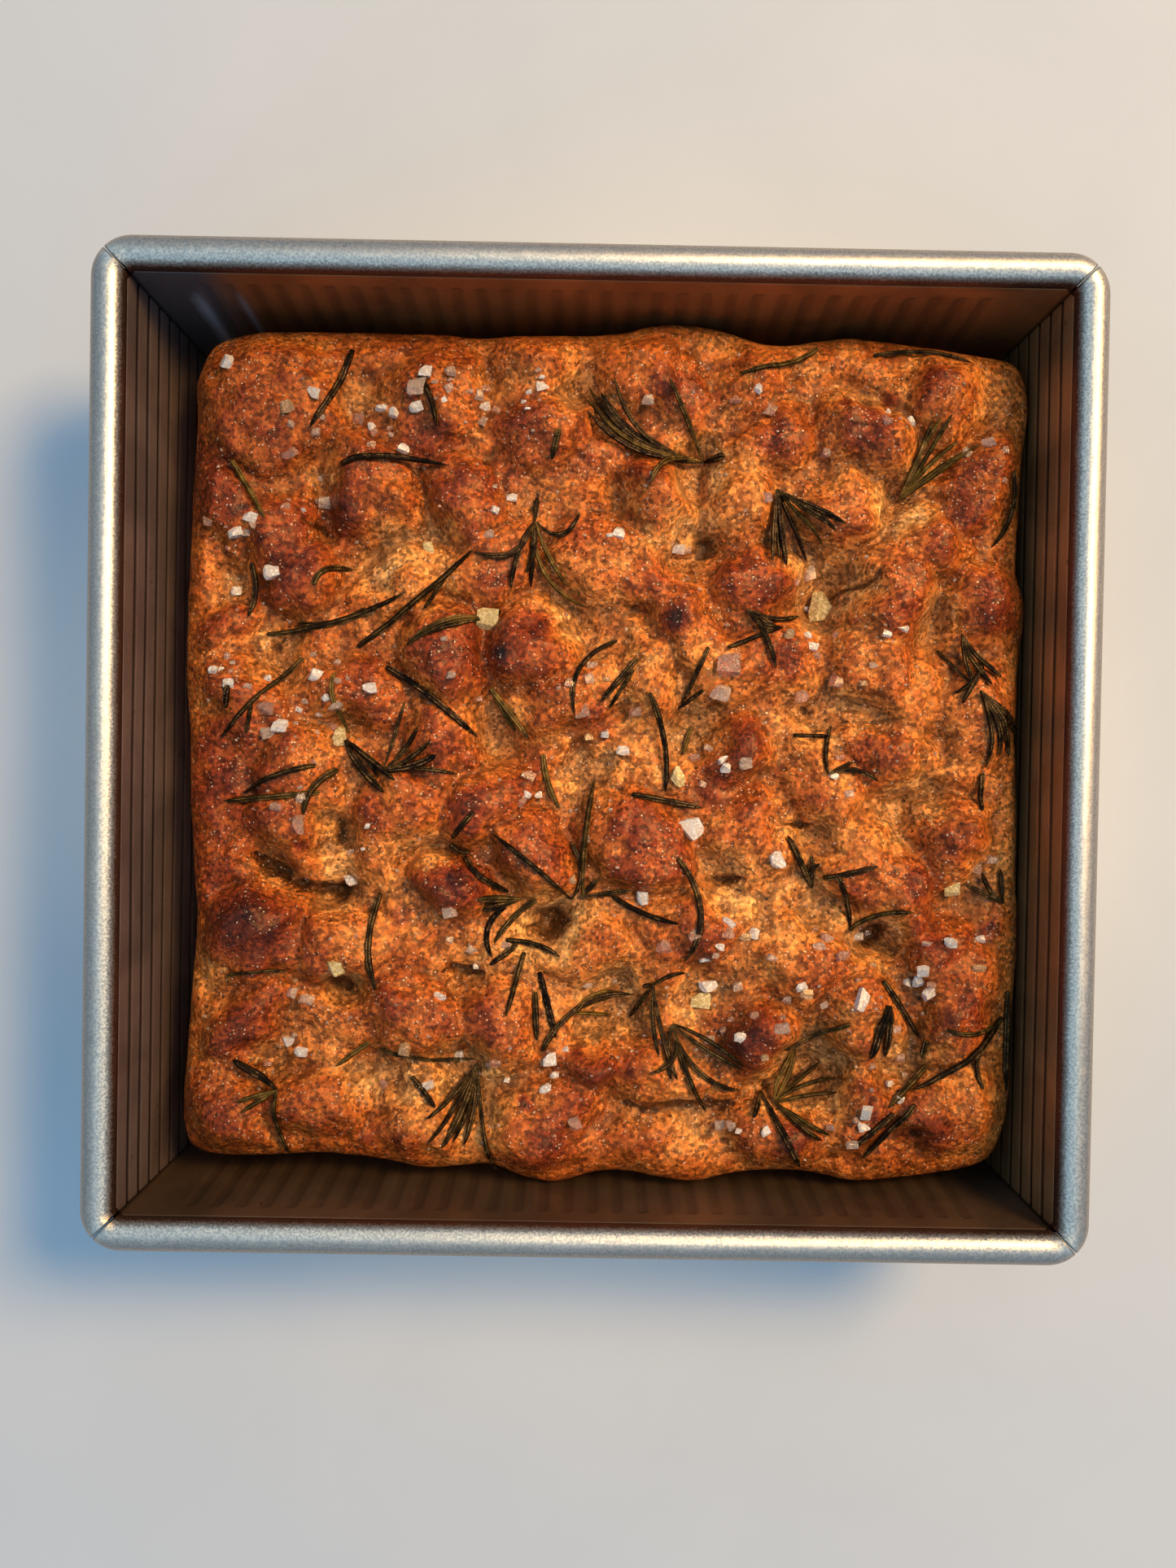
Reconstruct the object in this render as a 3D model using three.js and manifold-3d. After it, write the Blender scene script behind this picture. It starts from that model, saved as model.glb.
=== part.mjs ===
// A rosemary focaccia in the square fluted tin it was baked in.
//
// Millimetres, +Z up. The origin is the middle of the tin's underside, X and Y run along the
// tin's sides. The bread is one solid with the loose rosemary needles and the salt fused to its
// crust. Each sprig, a tuft of needles that share one bit of stem, is a solid of its own that
// lies on the crust.

import * as THREE from "three";
import { mergeVertices } from "three/addons/utils/BufferGeometryUtils.js";
import Module from "manifold-3d";

const wasm = await Module();
wasm.setup();

// ---------------------------------------------------------------- driving dimensions

// Tin: a 9 inch square pan of thin pressed sheet with a rolled rim.
const RIM_WIDTH = 249;
const RIM_TUBE = 8.5;
const TIN_HEIGHT = 57;
const SHEET = 1.0;
const WALL_DRAFT = 0.065;
const FLOOR_BEND = 3.0;
const TIN_CORNER = 2.0;
const RIM_STEPS = 7;
const CORNER_STEPS = 3;
// Where the outer wall runs into the rolled rim and where the roll ends at the inner wall.
const ROLL_START = 225;
const ROLL_END = 540;
// The bend between floor and wall: its outside at the sheet's height, and its middle from inside.
const BEND_FLARE = 0.1;
const BEND_MIDDLE = 0.3;

// Bread: its crust top stands a little over half the tin's depth.
const CRUST_TOP = 35.5;
const BREAD_FLOOR = SHEET + 0.3;
const BREAD_MIDDLE_X = 3;
const BREAD_HALF = 109;
const SHOULDER_WIDTH = 12;
const SHOULDER_DROP = 9;
const LID_CELLS = 36;
const EDGE_STEPS = 6;
// How round the creases between pillows are, and the depth at which a pillow no longer counts.
const CREASE_SOFTNESS = 0.8;
const PILLOW_END = -6;
const HOLLOW_STEEPNESS = 1.5;
// Share of the relief that is lost towards the bread's edge.
const EDGE_CALM = 0.75;
// Side of the bread, from shoulder to foot: height above the tin floor and how far it draws in.
const SIDE_LEVELS = [
  [17, 0.8],
  [5, 3.2],
  [0, 6.0],
];

// Toppings.
const NEEDLE_HALF_WIDTH = 1.05;
const NEEDLE_HALF_THICK = 0.75;
const NEEDLE_STATIONS = [0, 0.25, 0.52, 0.8, 1];
const NEEDLE_TAPER = [0.72, 1, 1, 0.8, 0.3];
const NEEDLE_SINK = 0.15;
const NEEDLE_STEPS = 12;
const GAP = 0.3;
// Salt grains, in shares of their length: width, thickness, height of the middle, free room.
const GRAIN_WIDTH = [0.55, 0.85];
const GRAIN_THICKNESS = [0.4, 0.7];
const GRAIN_RISE = 0.075;
const GRAIN_ROOM = 0.75;
const GRAIN_TILT = 50;
const GRAIN_TURN = 180;
// A sprig's bit of stem: how far along its needles it holds them up, and how much.
const STEM_SHARE = 0.1;
const STEM_LIFT = 0.4;
// A sprig's needle is tried against the crust at this many places, a few times over.
const REST_STEPS = 24;
const REST_PASSES = 3;
const PROBE_SPREAD = 1.1;
const PROBE_CELL = 8;
const LEAST_UPWARD = 0.05;
const TOLERANCE = 1e-6;
const WELD = 1e-4;
const SEED = 91;

// Where the crust ends, seen from above: a square loaf edge with soft corners and small bays,
// walked anticlockwise from the middle of the right side.
const CRUST_EDGE = [
  [111, 8], [111.5, 25], [113, 36], [112.5, 43], [110.5, 50], [111, 64], [111.5, 77], [113, 90],
  [112.5, 98], [109, 104.5], [101.5, 106.5], [88.5, 108], [73.5, 110], [65, 110.5], [56.5, 109.5],
  [48, 108], [41.5, 108.5], [33, 111.5], [22, 113], [13.5, 112.5], [5, 110.5], [-8, 109.5],
  [-29.5, 108.5], [-46.5, 109.5], [-76.5, 109.5], [-89, 109], [-96, 107.5], [-101.5, 104.5],
  [-105, 96], [-105, 85.5], [-106, 68], [-106.5, 51], [-107, 34], [-107, 17], [-106, 4],
  [-105.5, -13], [-104.5, -30], [-103.5, -44], [-104.5, -60], [-105.5, -78], [-106.5, -91],
  [-106, -100.5], [-102.5, -106], [-90.5, -107.5], [-69, -106.5], [-52, -108], [-41, -110],
  [-26, -108.5], [-15, -112], [-7.5, -113], [3.5, -110], [13, -110], [28, -112], [39, -110],
  [52, -108.5], [63, -110], [72, -111.5], [87, -110], [100, -108], [108.5, -103], [112, -87],
  [112, -68], [113, -50], [112.5, -31], [112, -13.5],
];

// Pillows of the crust: x, y, radius, rise.
const PILLOWS = [
  [-86, 90, 20, 3], [-59, 67, 14, 4], [-35, 64, 12, 3.5], [-42, 90, 13, 2.5], [-12, 84, 12, 3],
  [-96, 62, 11, 2.5], [-82, 56, 11, 3], [-75, 43, 10, 3], [-50, 45, 12, 3], [-91, 30, 10, 2],
  [-38, 25, 13, 4.5], [-16, 29, 12, 4.5], [-7, 15, 12, 3], [-60, 15, 12, 3], [-92, 12, 14, 3],
  [-38, 5, 12, 3], [-28, 49, 12, 3], [0, 50, 13, 2.5], [14, 98, 14, 3], [-18, 102, 13, 3],
  [40, 98, 12, 2.5], [47, 82, 11, 3], [70, 84, 12, 4], [90, 94, 13, 3.5], [101, 74, 12, 3],
  [64, 64, 12, 3], [84, 57, 12, 4], [16, 65, 12, 4], [36, 68, 10, 3], [44, 46, 12, 4],
  [14, 47, 12, 2.5], [24, 36, 12, 3.5], [77, 43, 15, 4.5], [101, 42, 12, 3], [42, 25, 16, 3],
  [76, 21, 16, 3], [12, 20, 12, 3], [101, 12, 13, 3], [38, 1, 10, 3.5], [76, 1, 13, 3],
  [60, -8, 12, 3], [94, -20, 12, 4], [70, -25, 12, 3], [12, -21, 15, 4], [78, -36, 12, 4],
  [42, -22, 13, 3], [28, -42, 13, 3], [56, -53, 14, 3.5], [94, -52, 13, 3], [47, -73, 10, 5],
  [3, -79, 9, 4], [18, -86, 13, 3], [72, -68, 12, 3], [96, -68, 12, 3], [70, -90, 13, 3],
  [92, -90, 14, 3], [50, -99, 12, 3], [-78, -5, 12, 3], [-88, -48, 15, 4], [-66, -50, 12, 3],
  [-36, -35, 10, 5], [-15, -27, 12, 4], [-50, -17, 14, 3], [-78, -17, 12, 3], [-44, -68, 14, 3],
  [-23, -70, 13, 3], [-89, -72, 12, 3], [-12, -98, 14, 3], [-70, -94, 12, 3], [-93, -95, 13, 3],
  [-44, -96, 13, 2.5], [-28, -12, 12, 3.5], [-2, -50, 12, 2.5], [20, -102, 14, 2],
];

// Hollows between them, pressed by fingertips: x, y, radius, depth.
const HOLLOWS = [
  [-60, 91, 8, 3], [-25, 96, 8, 2], [-6, 93, 8, 4], [-71, 70, 8, 3], [-72, 57, 6, 2.5],
  [-57, 47, 9, 4.5], [-94, 44, 7, 4], [-84, 26, 10, 5.5], [-8, 37, 9, 4], [-45, 54, 7, 2],
  [-65, 7, 7, 3.5], [-24, 5, 9, 4.5], [26, 75, 8, 6], [6, 66, 7, 3], [23, 56, 9, 5],
  [53, 52, 8, 5], [60, 43, 8, 6], [57, 37, 7, 4], [89, 37, 10, 5], [79, 64, 9, 4.5],
  [67, 93, 7, 3.5], [28, 7, 8, 4], [56, 12, 6, 2.5], [70, 9, 6, 2.5], [-41, -26, 9, 5],
  [-66, -37, 8, 6], [-83, -31, 8, 5], [-66, -60, 6, 6], [-10, -45, 9, 6], [-4, -5, 9, 4.5],
  [-34, -57, 7, 3], [6, -66, 11, 8], [-58, -86, 10, 3.5], [-84, -80, 8, 4], [-28, -85, 11, 4.5],
  [-47, -90, 8, 2.5], [-96, -57, 8, 2.5], [84, -14, 10, 4.5], [53, -17, 6, 3], [35, -32, 8, 3.5],
  [61, -38, 7, 3.5], [75, -46, 8, 5.5], [95, -37, 9, 2.5], [30, -63, 9, 4], [58, -83, 10, 6.5],
  [80, -76, 8, 4.5], [48, -88, 7, 3], [26, -92, 12, 3], [8, -92, 8, 2.5], [-67, -22, 6, 4],
];

// Loose needles: where the thick end lies, heading in degrees, length, sideways bow.
const LOOSE_NEEDLES = [
  [-64, 104, -113, 24, 1], [-46, 96, -71, 14, 1], [-66, 73, 0, 28, 2], [-94, 74, -58, 18, 0],
  [-89, 48, -93, 14, 1], [-72, 42, 34, 10, 2], [-86, 30, 16, 39, -2], [-62, 27, 39, 40, -1],
  [-76, 24, -133, 30, 0], [-67, 20, -79, 16, -1], [-54, 22, -37, 30, 1], [-27, 17, -52, 17, 0],
  [6, 30, -118, 23, -5], [11, 25, -129, 15, 0], [29, 28, -113, 16, 0], [14, 16, -79, 26, 2],
  [107, 75, -103, 20, 3], [57, 107, -159, 23, 2], [71, 105, -6, 25, 2], [-71, -4, -159, 21, -1],
  [-66, -5, -123, 14, -2], [-13, 0, -72, 15, -1], [-30, -15, -130, 10, 0], [-33, -27, -38, 15, -1],
  [-22, -41, -104, 14, -3], [-14, -40, -133, 16, -1], [-17, -52, -105, 16, 0], [-13, -57, -75, 18, 0],
  [6, -37, -20, 18, -1], [22, -26, -85, 28, 5], [10, -10, -10, 19, 0], [-55, -37, -90, 25, -2],
  [-94, -59, 5, 16, 1], [-57, -76, -143, 11, 0], [-55, -78, -7, 26, -1], [-12, -78, 30, 28, 5],
  [67, -68, -155, 18, 0], [77, -63, -106, 15, 0], [76, -57, -55, 20, 0], [109, -67, -144, 31, 2],
  [84, -88, -126, 20, 0], [92, -69, 5, 16, -2], [60, -31, 15, 12, 0], [63, -30, -70, 14, 1],
  [68, -45, 22, 16, 2], [52, 6, -1, 10, 0], [101, -3, -95, 10, 0],
];

// Coarse salt flakes that were set down one by one: x, y, length.
const SALT_FLAKES = [
  [77, 40, 5], [70, 35, 3.5], [24, -11, 6], [-27, 35, 6], [-67, 3, 7], [59, 48, 8], [34, 29, 6],
  [33, 22, 5], [-66, -56, 5], [-26, 109, 5], [11, -35, 5], [18, 3, 5], [29, -59, 5],
  [27, -63, 6], [67, -61, 6], [85, -58, 6], [76, -55, 4.5], [87, -65, 4], [-84, 55, 4],
  [-77, -74, 5], [61, 37, 4], [-29, 98, 4], [-48, 85, 4], [-32, 80, 4], [-84, 41, 5],
  [45, -20, 4], [30, -45, 4.5], [49, -49, 4], [97, -47, 4], [-91, 7, 4],
];
const SCATTERED_GRAINS = 24;
const SCATTERED_SIZE = 3.2;
const SCATTER_REACH = 0.9 * BREAD_HALF;

// Sprigs: where the needles join, then one row for each needle: heading, length, bow.
const SPRIGS = [
  { x: 28, y: 78, leaves: [[120, 21, 0], [142, 31, 6], [150, 35, 6], [161, 33, 5], [-146, 18, -4]] },
  { x: 79, y: 68, leaves: [[72, 20, 0], [58, 23, 0], [46, 20, 1], [34, 24, 1]] },
  { x: 46, y: 69, leaves: [[-93, 19, 0], [-79, 20, 0], [-61, 20, 0], [-45, 19, 0], [-30, 20, 0]] },
  { x: 39, y: 38, leaves: [[-1, 15, -2], [-32, 10, 0], [-64, 17, 1]] },
  {
    x: -16,
    y: 60,
    leaves: [[86, 6, 0], [-150, 18, 5], [14, 12, -5], [-108, 19, -1], [-94, 15, 1], [-60, 26, -5]],
  },
  { x: -28, y: 35, leaves: [[-158, 22, -1], [-165, 20, 1], [29, 4, 0]] },
  { x: -65, y: 3, leaves: [[-49, 13, 0], [-60, 17, 0]] },
  { x: -54, y: -5, leaves: [[74, 19, 0], [52, 15, -1], [30, 15, -1], [0, 19, 1]] },
  { x: -5, y: -39, leaves: [[140, 27, -1], [92, 15, -3]] },
  { x: -1, y: -38, leaves: [[83, 31, 1], [50, 6, 0], [9, 13, 0]] },
  { x: -20, y: -38, leaves: [[177, 10, 0], [-166, 9, 0]] },
  { x: -80, y: -88, leaves: [[147, 14, 0], [-85, 19, -1], [-160, 10, 0]] },
  { x: -29, y: -82, leaves: [[-134, 18, 1], [-120, 23, 1], [-108, 21, 1], [-97, 21, 1], [-79, 25, -1]] },
  { x: -4, y: -68, leaves: [[14, 11, 1], [-11, 10, 0]] },
  { x: 17, y: -60, leaves: [[22, 9, 1], [-78, 25, -1], [-120, 12, 0]] },
  { x: 23, y: -70, leaves: [[-66, 26, -1], [-28, 21, 1], [-45, 26, -4]] },
  { x: 49, y: -90, leaves: [[63, 14, 1], [19, 18, 1], [-32, 16, 0]] },
  { x: 45, y: -89, leaves: [[-63, 20, 0]] },
  { x: 58, y: -34, leaves: [[118, 16, 0], [92, 9, 0]] },
  { x: 60, y: -4, leaves: [[24, 9, 0], [-7, 14, 2], [75, 12, 2]] },
  { x: 108, y: -37, leaves: [[155, 12, 0], [122, 10, 1]] },
  { x: 95, y: 33, leaves: [[-55, 15, -1], [-85, 13, 0]] },
  { x: 98, y: 18, leaves: [[-79, 18, 1], [-60, 17, 1], [-37, 15, -1]] },
];

// ---------------------------------------------------------------- finishes

const FINISHES = {
  tin: new THREE.MeshStandardMaterial({ color: 0x8c8a86, metalness: 0.9, roughness: 0.35 }),
  crust: new THREE.MeshStandardMaterial({ color: 0xa85a22, metalness: 0, roughness: 0.5 }),
  rosemary: new THREE.MeshStandardMaterial({ color: 0x2e2a1c, metalness: 0, roughness: 0.5 }),
};

// ---------------------------------------------------------------- small helpers

// Repeatable random numbers from 0 to 1.
function makeRandom(seed) {
  let state = seed;
  return () => {
    state = (state * 1664525 + 1013904223) % 4294967296;
    return state / 4294967296;
  };
}

function between([low, high], random) {
  return low + (high - low) * random();
}

function radians(degrees) {
  return (degrees * Math.PI) / 180;
}

// Joins rings of equally many points by quads split in two, with a fan over each end.
// The rings run anticlockwise as seen from the end that they move towards.
function loft(rings) {
  const count = rings[0].length;
  const points = rings.flat();
  const faces = [];
  for (let r = 0; r + 1 < rings.length; r++) {
    for (let i = 0; i < count; i++) {
      const a = r * count + i;
      const b = r * count + ((i + 1) % count);
      faces.push(a, b, b + count, a, b + count, a + count);
    }
  }
  addFan(points, faces, 0, count, true);
  addFan(points, faces, (rings.length - 1) * count, count, false);
  return geometryOf(points, faces);
}

// Closes a ring of points with triangles round its middle.
function addFan(points, faces, first, count, reversed) {
  const middle = new THREE.Vector3();
  for (let i = 0; i < count; i++) middle.add(points[first + i]);
  middle.divideScalar(count);
  const centre = points.push(middle) - 1;
  for (let i = 0; i < count; i++) {
    const a = first + i;
    const b = first + ((i + 1) % count);
    if (reversed) faces.push(centre, b, a);
    else faces.push(centre, a, b);
  }
}

function geometryOf(points, faces) {
  const geometry = new THREE.BufferGeometry().setFromPoints(points);
  geometry.setIndex(faces);
  return geometry;
}

// A solid that can be joined and cut, and the way back.
function toSolid(geometry) {
  const bare = geometry.clone();
  bare.deleteAttribute("normal");
  bare.deleteAttribute("uv");
  const merged = mergeVertices(bare, WELD);
  const vertProperties = new Float32Array(merged.attributes.position.array);
  const triVerts = new Uint32Array(merged.index.array);
  return new wasm.Manifold(new wasm.Mesh({ numProp: 3, vertProperties, triVerts }));
}

function toGeometry(solid) {
  const mesh = solid.getMesh();
  const geometry = new THREE.BufferGeometry();
  geometry.setAttribute("position", new THREE.BufferAttribute(mesh.vertProperties, 3));
  geometry.setIndex(largestShell(mesh.triVerts, mesh.vertProperties.length / 3));
  geometry.computeVertexNormals();
  return geometry;
}

// Keeps the triangles of the largest connected skin, so that a small hollow sealed under a
// joined piece is filled and a loose scrap is dropped.
function largestShell(triangles, vertexCount) {
  const parent = Array.from({ length: vertexCount }, (_, k) => k);
  const root = (k) => {
    let top = k;
    while (parent[top] !== top) {
      parent[top] = parent[parent[top]];
      top = parent[top];
    }
    return top;
  };
  for (let k = 0; k < triangles.length; k += 3) {
    parent[root(triangles[k + 1])] = root(triangles[k]);
    parent[root(triangles[k + 2])] = root(triangles[k]);
  }
  const shells = new Map();
  for (let k = 0; k < triangles.length; k += 3) {
    const top = root(triangles[k]);
    if (!shells.has(top)) shells.set(top, []);
    shells.get(top).push(triangles[k], triangles[k + 1], triangles[k + 2]);
  }
  return [...shells.values()].sort((a, b) => b.length - a.length)[0];
}

function namedMesh(name, geometry, finish) {
  const mesh = new THREE.Mesh(geometry, FINISHES[finish].clone());
  mesh.name = name;
  return mesh;
}

// ---------------------------------------------------------------- tin

// Half the width between the wall's inner faces at a height.
function innerHalf(z) {
  const rimLevel = TIN_HEIGHT - RIM_TUBE / 2;
  return RIM_WIDTH / 2 - RIM_TUBE - (rimLevel - z) * WALL_DRAFT;
}

// A level square loop with round corners: what stands further out turns on a larger radius.
function squareLoop(half, z) {
  const radius = TIN_CORNER + Math.max(0, half - innerHalf(z));
  const loop = [];
  for (let corner = 0; corner < 4; corner++) {
    const start = corner * 90;
    const centre = new THREE.Vector2(half - radius, half - radius);
    centre.rotateAround(new THREE.Vector2(), radians(start));
    for (let step = 0; step <= CORNER_STEPS; step++) {
      const angle = radians(start + (90 * step) / CORNER_STEPS);
      const x = centre.x + radius * Math.cos(angle);
      const y = centre.y + radius * Math.sin(angle);
      loop.push(new THREE.Vector3(x, y, z));
    }
  }
  return loop;
}

// Out along the underside, up the outer wall, round the rolled rim and down inside to the floor.
function tinGeometry() {
  const tubeRadius = RIM_TUBE / 2;
  const tubeHalf = RIM_WIDTH / 2 - tubeRadius;
  const tubeLevel = TIN_HEIGHT - tubeRadius;
  const middle = FLOOR_BEND * BEND_MIDDLE;
  const loops = [
    squareLoop(innerHalf(0) - FLOOR_BEND, 0),
    squareLoop(innerHalf(0) + BEND_FLARE, SHEET),
    squareLoop(innerHalf(FLOOR_BEND) + SHEET, FLOOR_BEND + SHEET),
  ];
  for (let step = 0; step <= RIM_STEPS; step++) {
    const angle = radians(ROLL_START + ((ROLL_END - ROLL_START) * step) / RIM_STEPS);
    const half = tubeHalf + tubeRadius * Math.cos(angle);
    loops.push(squareLoop(half, tubeLevel + tubeRadius * Math.sin(angle)));
  }
  loops.push(squareLoop(innerHalf(SHEET + FLOOR_BEND), SHEET + FLOOR_BEND));
  loops.push(squareLoop(innerHalf(SHEET) - middle, SHEET + middle));
  loops.push(squareLoop(innerHalf(SHEET) - FLOOR_BEND, SHEET));
  return loft(loops);
}

// ---------------------------------------------------------------- bread

// The crust's edge as a smooth closed curve, kept as heading and distance from the middle.
const EDGE_BY_HEADING = new THREE.CatmullRomCurve3(
  CRUST_EDGE.map(([x, y]) => new THREE.Vector3(x - BREAD_MIDDLE_X, y, 0)),
  true,
)
  .getPoints(CRUST_EDGE.length * EDGE_STEPS)
  .map((p) => ({ heading: Math.atan2(p.y, p.x), reach: Math.hypot(p.x, p.y) }))
  .sort((a, b) => a.heading - b.heading);

// How far the bread reaches from its middle along a heading.
function edgeReach(heading) {
  const list = EDGE_BY_HEADING;
  const next = list.findIndex((e) => e.heading > heading);
  const b = next < 0 ? { ...list[0], heading: list[0].heading + 2 * Math.PI } : list[next];
  const before = next > 0 ? list[next - 1] : list[list.length - 1];
  const a = next === 0 ? { ...before, heading: before.heading - 2 * Math.PI } : before;
  const share = (heading - a.heading) / Math.max(b.heading - a.heading, 1e-9);
  return a.reach + (b.reach - a.reach) * share;
}

// 0 at the bread's middle, 1 at its edge.
function edgeShare(x, y) {
  const dx = x - BREAD_MIDDLE_X;
  return Math.hypot(dx, y) / edgeReach(Math.atan2(y, dx));
}

// Soft maximum of the pillows, so that neighbours meet in a crease, less the hollows.
function crustRelief(x, y) {
  let sum = 1;
  for (const [px, py, radius, rise] of PILLOWS) {
    const cap = rise * (1 - ((x - px) ** 2 + (y - py) ** 2) / radius ** 2);
    if (cap > PILLOW_END) sum += Math.exp(cap / CREASE_SOFTNESS);
  }
  let relief = CREASE_SOFTNESS * Math.log(sum);
  for (const [hx, hy, radius, depth] of HOLLOWS) {
    const away = ((x - hx) ** 2 + (y - hy) ** 2) / radius ** 2;
    relief -= depth * Math.exp(-HOLLOW_STEEPNESS * away);
  }
  return relief;
}

// Height of the crust above the tin's underside.
function crustHeight(x, y) {
  const inward = (1 - edgeShare(x, y)) * BREAD_HALF;
  const down = THREE.MathUtils.clamp(1 - inward / SHOULDER_WIDTH, 0, 1);
  const shoulder = SHOULDER_DROP * (1 - Math.sqrt(1 - down * down));
  return CRUST_TOP - shoulder + crustRelief(x, y) * (1 - EDGE_CALM * down);
}

// A square grid is stretched over the crust's outline, and its rim is carried down to the foot.
function breadGeometry() {
  const points = [];
  const faces = [];
  const row = LID_CELLS + 1;
  for (let j = 0; j < row; j++) {
    for (let i = 0; i < row; i++) {
      const u = (2 * i) / LID_CELLS - 1;
      const v = (2 * j) / LID_CELLS - 1;
      const heading = Math.atan2(v, u);
      const reach = Math.max(Math.abs(u), Math.abs(v)) * edgeReach(heading);
      const x = BREAD_MIDDLE_X + reach * Math.cos(heading);
      const y = reach * Math.sin(heading);
      points.push(new THREE.Vector3(x, y, crustHeight(x, y)));
    }
  }
  for (let j = 0; j < LID_CELLS; j++) {
    for (let i = 0; i < LID_CELLS; i++) {
      const a = j * row + i;
      const c = a + row;
      if ((i < LID_CELLS / 2) === (j < LID_CELLS / 2)) faces.push(a, a + 1, c + 1, a, c + 1, c);
      else faces.push(a, a + 1, c, a + 1, c + 1, c);
    }
  }
  const border = lidBorder(row);
  let upper = border;
  for (const [level, inset] of SIDE_LEVELS) {
    const scale = 1 - inset / BREAD_HALF;
    const lower = border.map((index) => {
      const edge = points[index];
      const heading = Math.atan2(edge.y, edge.x - BREAD_MIDDLE_X);
      const reach = edgeReach(heading) * scale;
      const x = BREAD_MIDDLE_X + reach * Math.cos(heading);
      return points.push(new THREE.Vector3(x, reach * Math.sin(heading), BREAD_FLOOR + level)) - 1;
    });
    for (let k = 0; k < upper.length; k++) {
      const next = (k + 1) % upper.length;
      faces.push(upper[k], lower[k], lower[next], upper[k], lower[next], upper[next]);
    }
    upper = lower;
  }
  addFan(points, faces, upper[0], upper.length, true);
  return geometryOf(points, faces);
}

// Indices round the rim of the grid, anticlockwise from above.
function lidBorder(row) {
  const last = row - 1;
  const border = [];
  for (let i = 0; i < last; i++) border.push(i);
  for (let j = 0; j < last; j++) border.push(j * row + last);
  for (let i = last; i > 0; i--) border.push(last * row + i);
  for (let j = last; j > 0; j--) border.push(j * row);
  return border;
}

// ---------------------------------------------------------------- needles

// A place on a needle's centreline, seen from above.
function needlePlace(x, y, [heading, length, bow], share) {
  const angle = radians(heading);
  const along = length * share;
  const aside = 4 * bow * share * (1 - share);
  return new THREE.Vector2(
    x + along * Math.cos(angle) - aside * Math.sin(angle),
    y + along * Math.sin(angle) + aside * Math.cos(angle),
  );
}

// Places along the whole of a needle, seen from above.
function placesAlong(x, y, shape) {
  return Array.from({ length: NEEDLE_STEPS + 1 }, (_, k) => needlePlace(x, y, shape, k / NEEDLE_STEPS));
}

// A four-sided tapering needle through the given centre points.
function needleGeometry(centres) {
  const rings = centres.map((centre, k) => {
    const ahead = centres[Math.min(k + 1, centres.length - 1)].clone();
    const along = ahead.sub(centres[Math.max(k - 1, 0)]).normalize();
    const side = new THREE.Vector3(along.y, -along.x, 0).normalize();
    const up = new THREE.Vector3().crossVectors(side, along);
    const wide = side.multiplyScalar(NEEDLE_HALF_WIDTH * NEEDLE_TAPER[k]);
    const thick = up.multiplyScalar(NEEDLE_HALF_THICK * NEEDLE_TAPER[k]);
    return [
      centre.clone().sub(wide),
      centre.clone().add(thick),
      centre.clone().add(wide),
      centre.clone().sub(thick),
    ];
  });
  return loft(rings);
}

// A needle that is pressed into the crust, following its rise and fall.
function sunkNeedle([x, y, ...shape]) {
  const centres = NEEDLE_STATIONS.map((share) => {
    const place = needlePlace(x, y, shape, share);
    return new THREE.Vector3(place.x, place.y, crustHeight(place.x, place.y) + NEEDLE_SINK);
  });
  return toSolid(needleGeometry(centres));
}

// ---------------------------------------------------------------- salt

function saltGrain(x, y, size, random) {
  const width = size * between(GRAIN_WIDTH, random);
  const thickness = size * between(GRAIN_THICKNESS, random);
  const shape = new THREE.BoxGeometry(size, width, thickness);
  shape.rotateX(radians(GRAIN_TILT * (random() - 0.5)));
  shape.rotateY(radians(GRAIN_TILT * (random() - 0.5)));
  shape.rotateZ(radians(GRAIN_TURN * random()));
  shape.translate(x, y, crustHeight(x, y) + size * GRAIN_RISE);
  return toSolid(shape);
}

// ---------------------------------------------------------------- putting it together

// Every sprig needle as a run of places seen from above, to keep the fused toppings clear of it.
const SPRIG_PLACES = SPRIGS.flatMap(({ x, y, leaves }) =>
  leaves.flatMap((leaf) => placesAlong(x, y, leaf)),
);

function clearOfSprigs(place, room) {
  return SPRIG_PLACES.every((p) => p.distanceTo(place) > room);
}

function focacciaGeometry() {
  const random = makeRandom(SEED);
  let bread = toSolid(breadGeometry());
  const taken = [];
  for (const needle of LOOSE_NEEDLES) {
    const [x, y, ...shape] = needle;
    const places = placesAlong(x, y, shape);
    const room = 2 * NEEDLE_HALF_WIDTH + GAP;
    if (!places.every((place) => clearOfSprigs(place, room))) continue;
    bread = bread.add(sunkNeedle(needle));
    taken.push(...places);
  }
  const grains = SALT_FLAKES.map(([x, y, size]) => ({ x, y, size }));
  for (let n = 0; n < SCATTERED_GRAINS; n++) {
    const x = SCATTER_REACH * (2 * random() - 1);
    const y = SCATTER_REACH * (2 * random() - 1);
    grains.push({ x, y, size: SCATTERED_SIZE });
  }
  for (const { x, y, size } of grains) {
    const place = new THREE.Vector2(x, y);
    const room = size * GRAIN_ROOM + NEEDLE_HALF_WIDTH + GAP;
    if (!clearOfSprigs(place, room)) continue;
    if (!taken.every((p) => p.distanceTo(place) > room)) continue;
    bread = bread.add(saltGrain(x, y, size, random));
    taken.push(place);
  }
  return toGeometry(bread);
}

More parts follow.
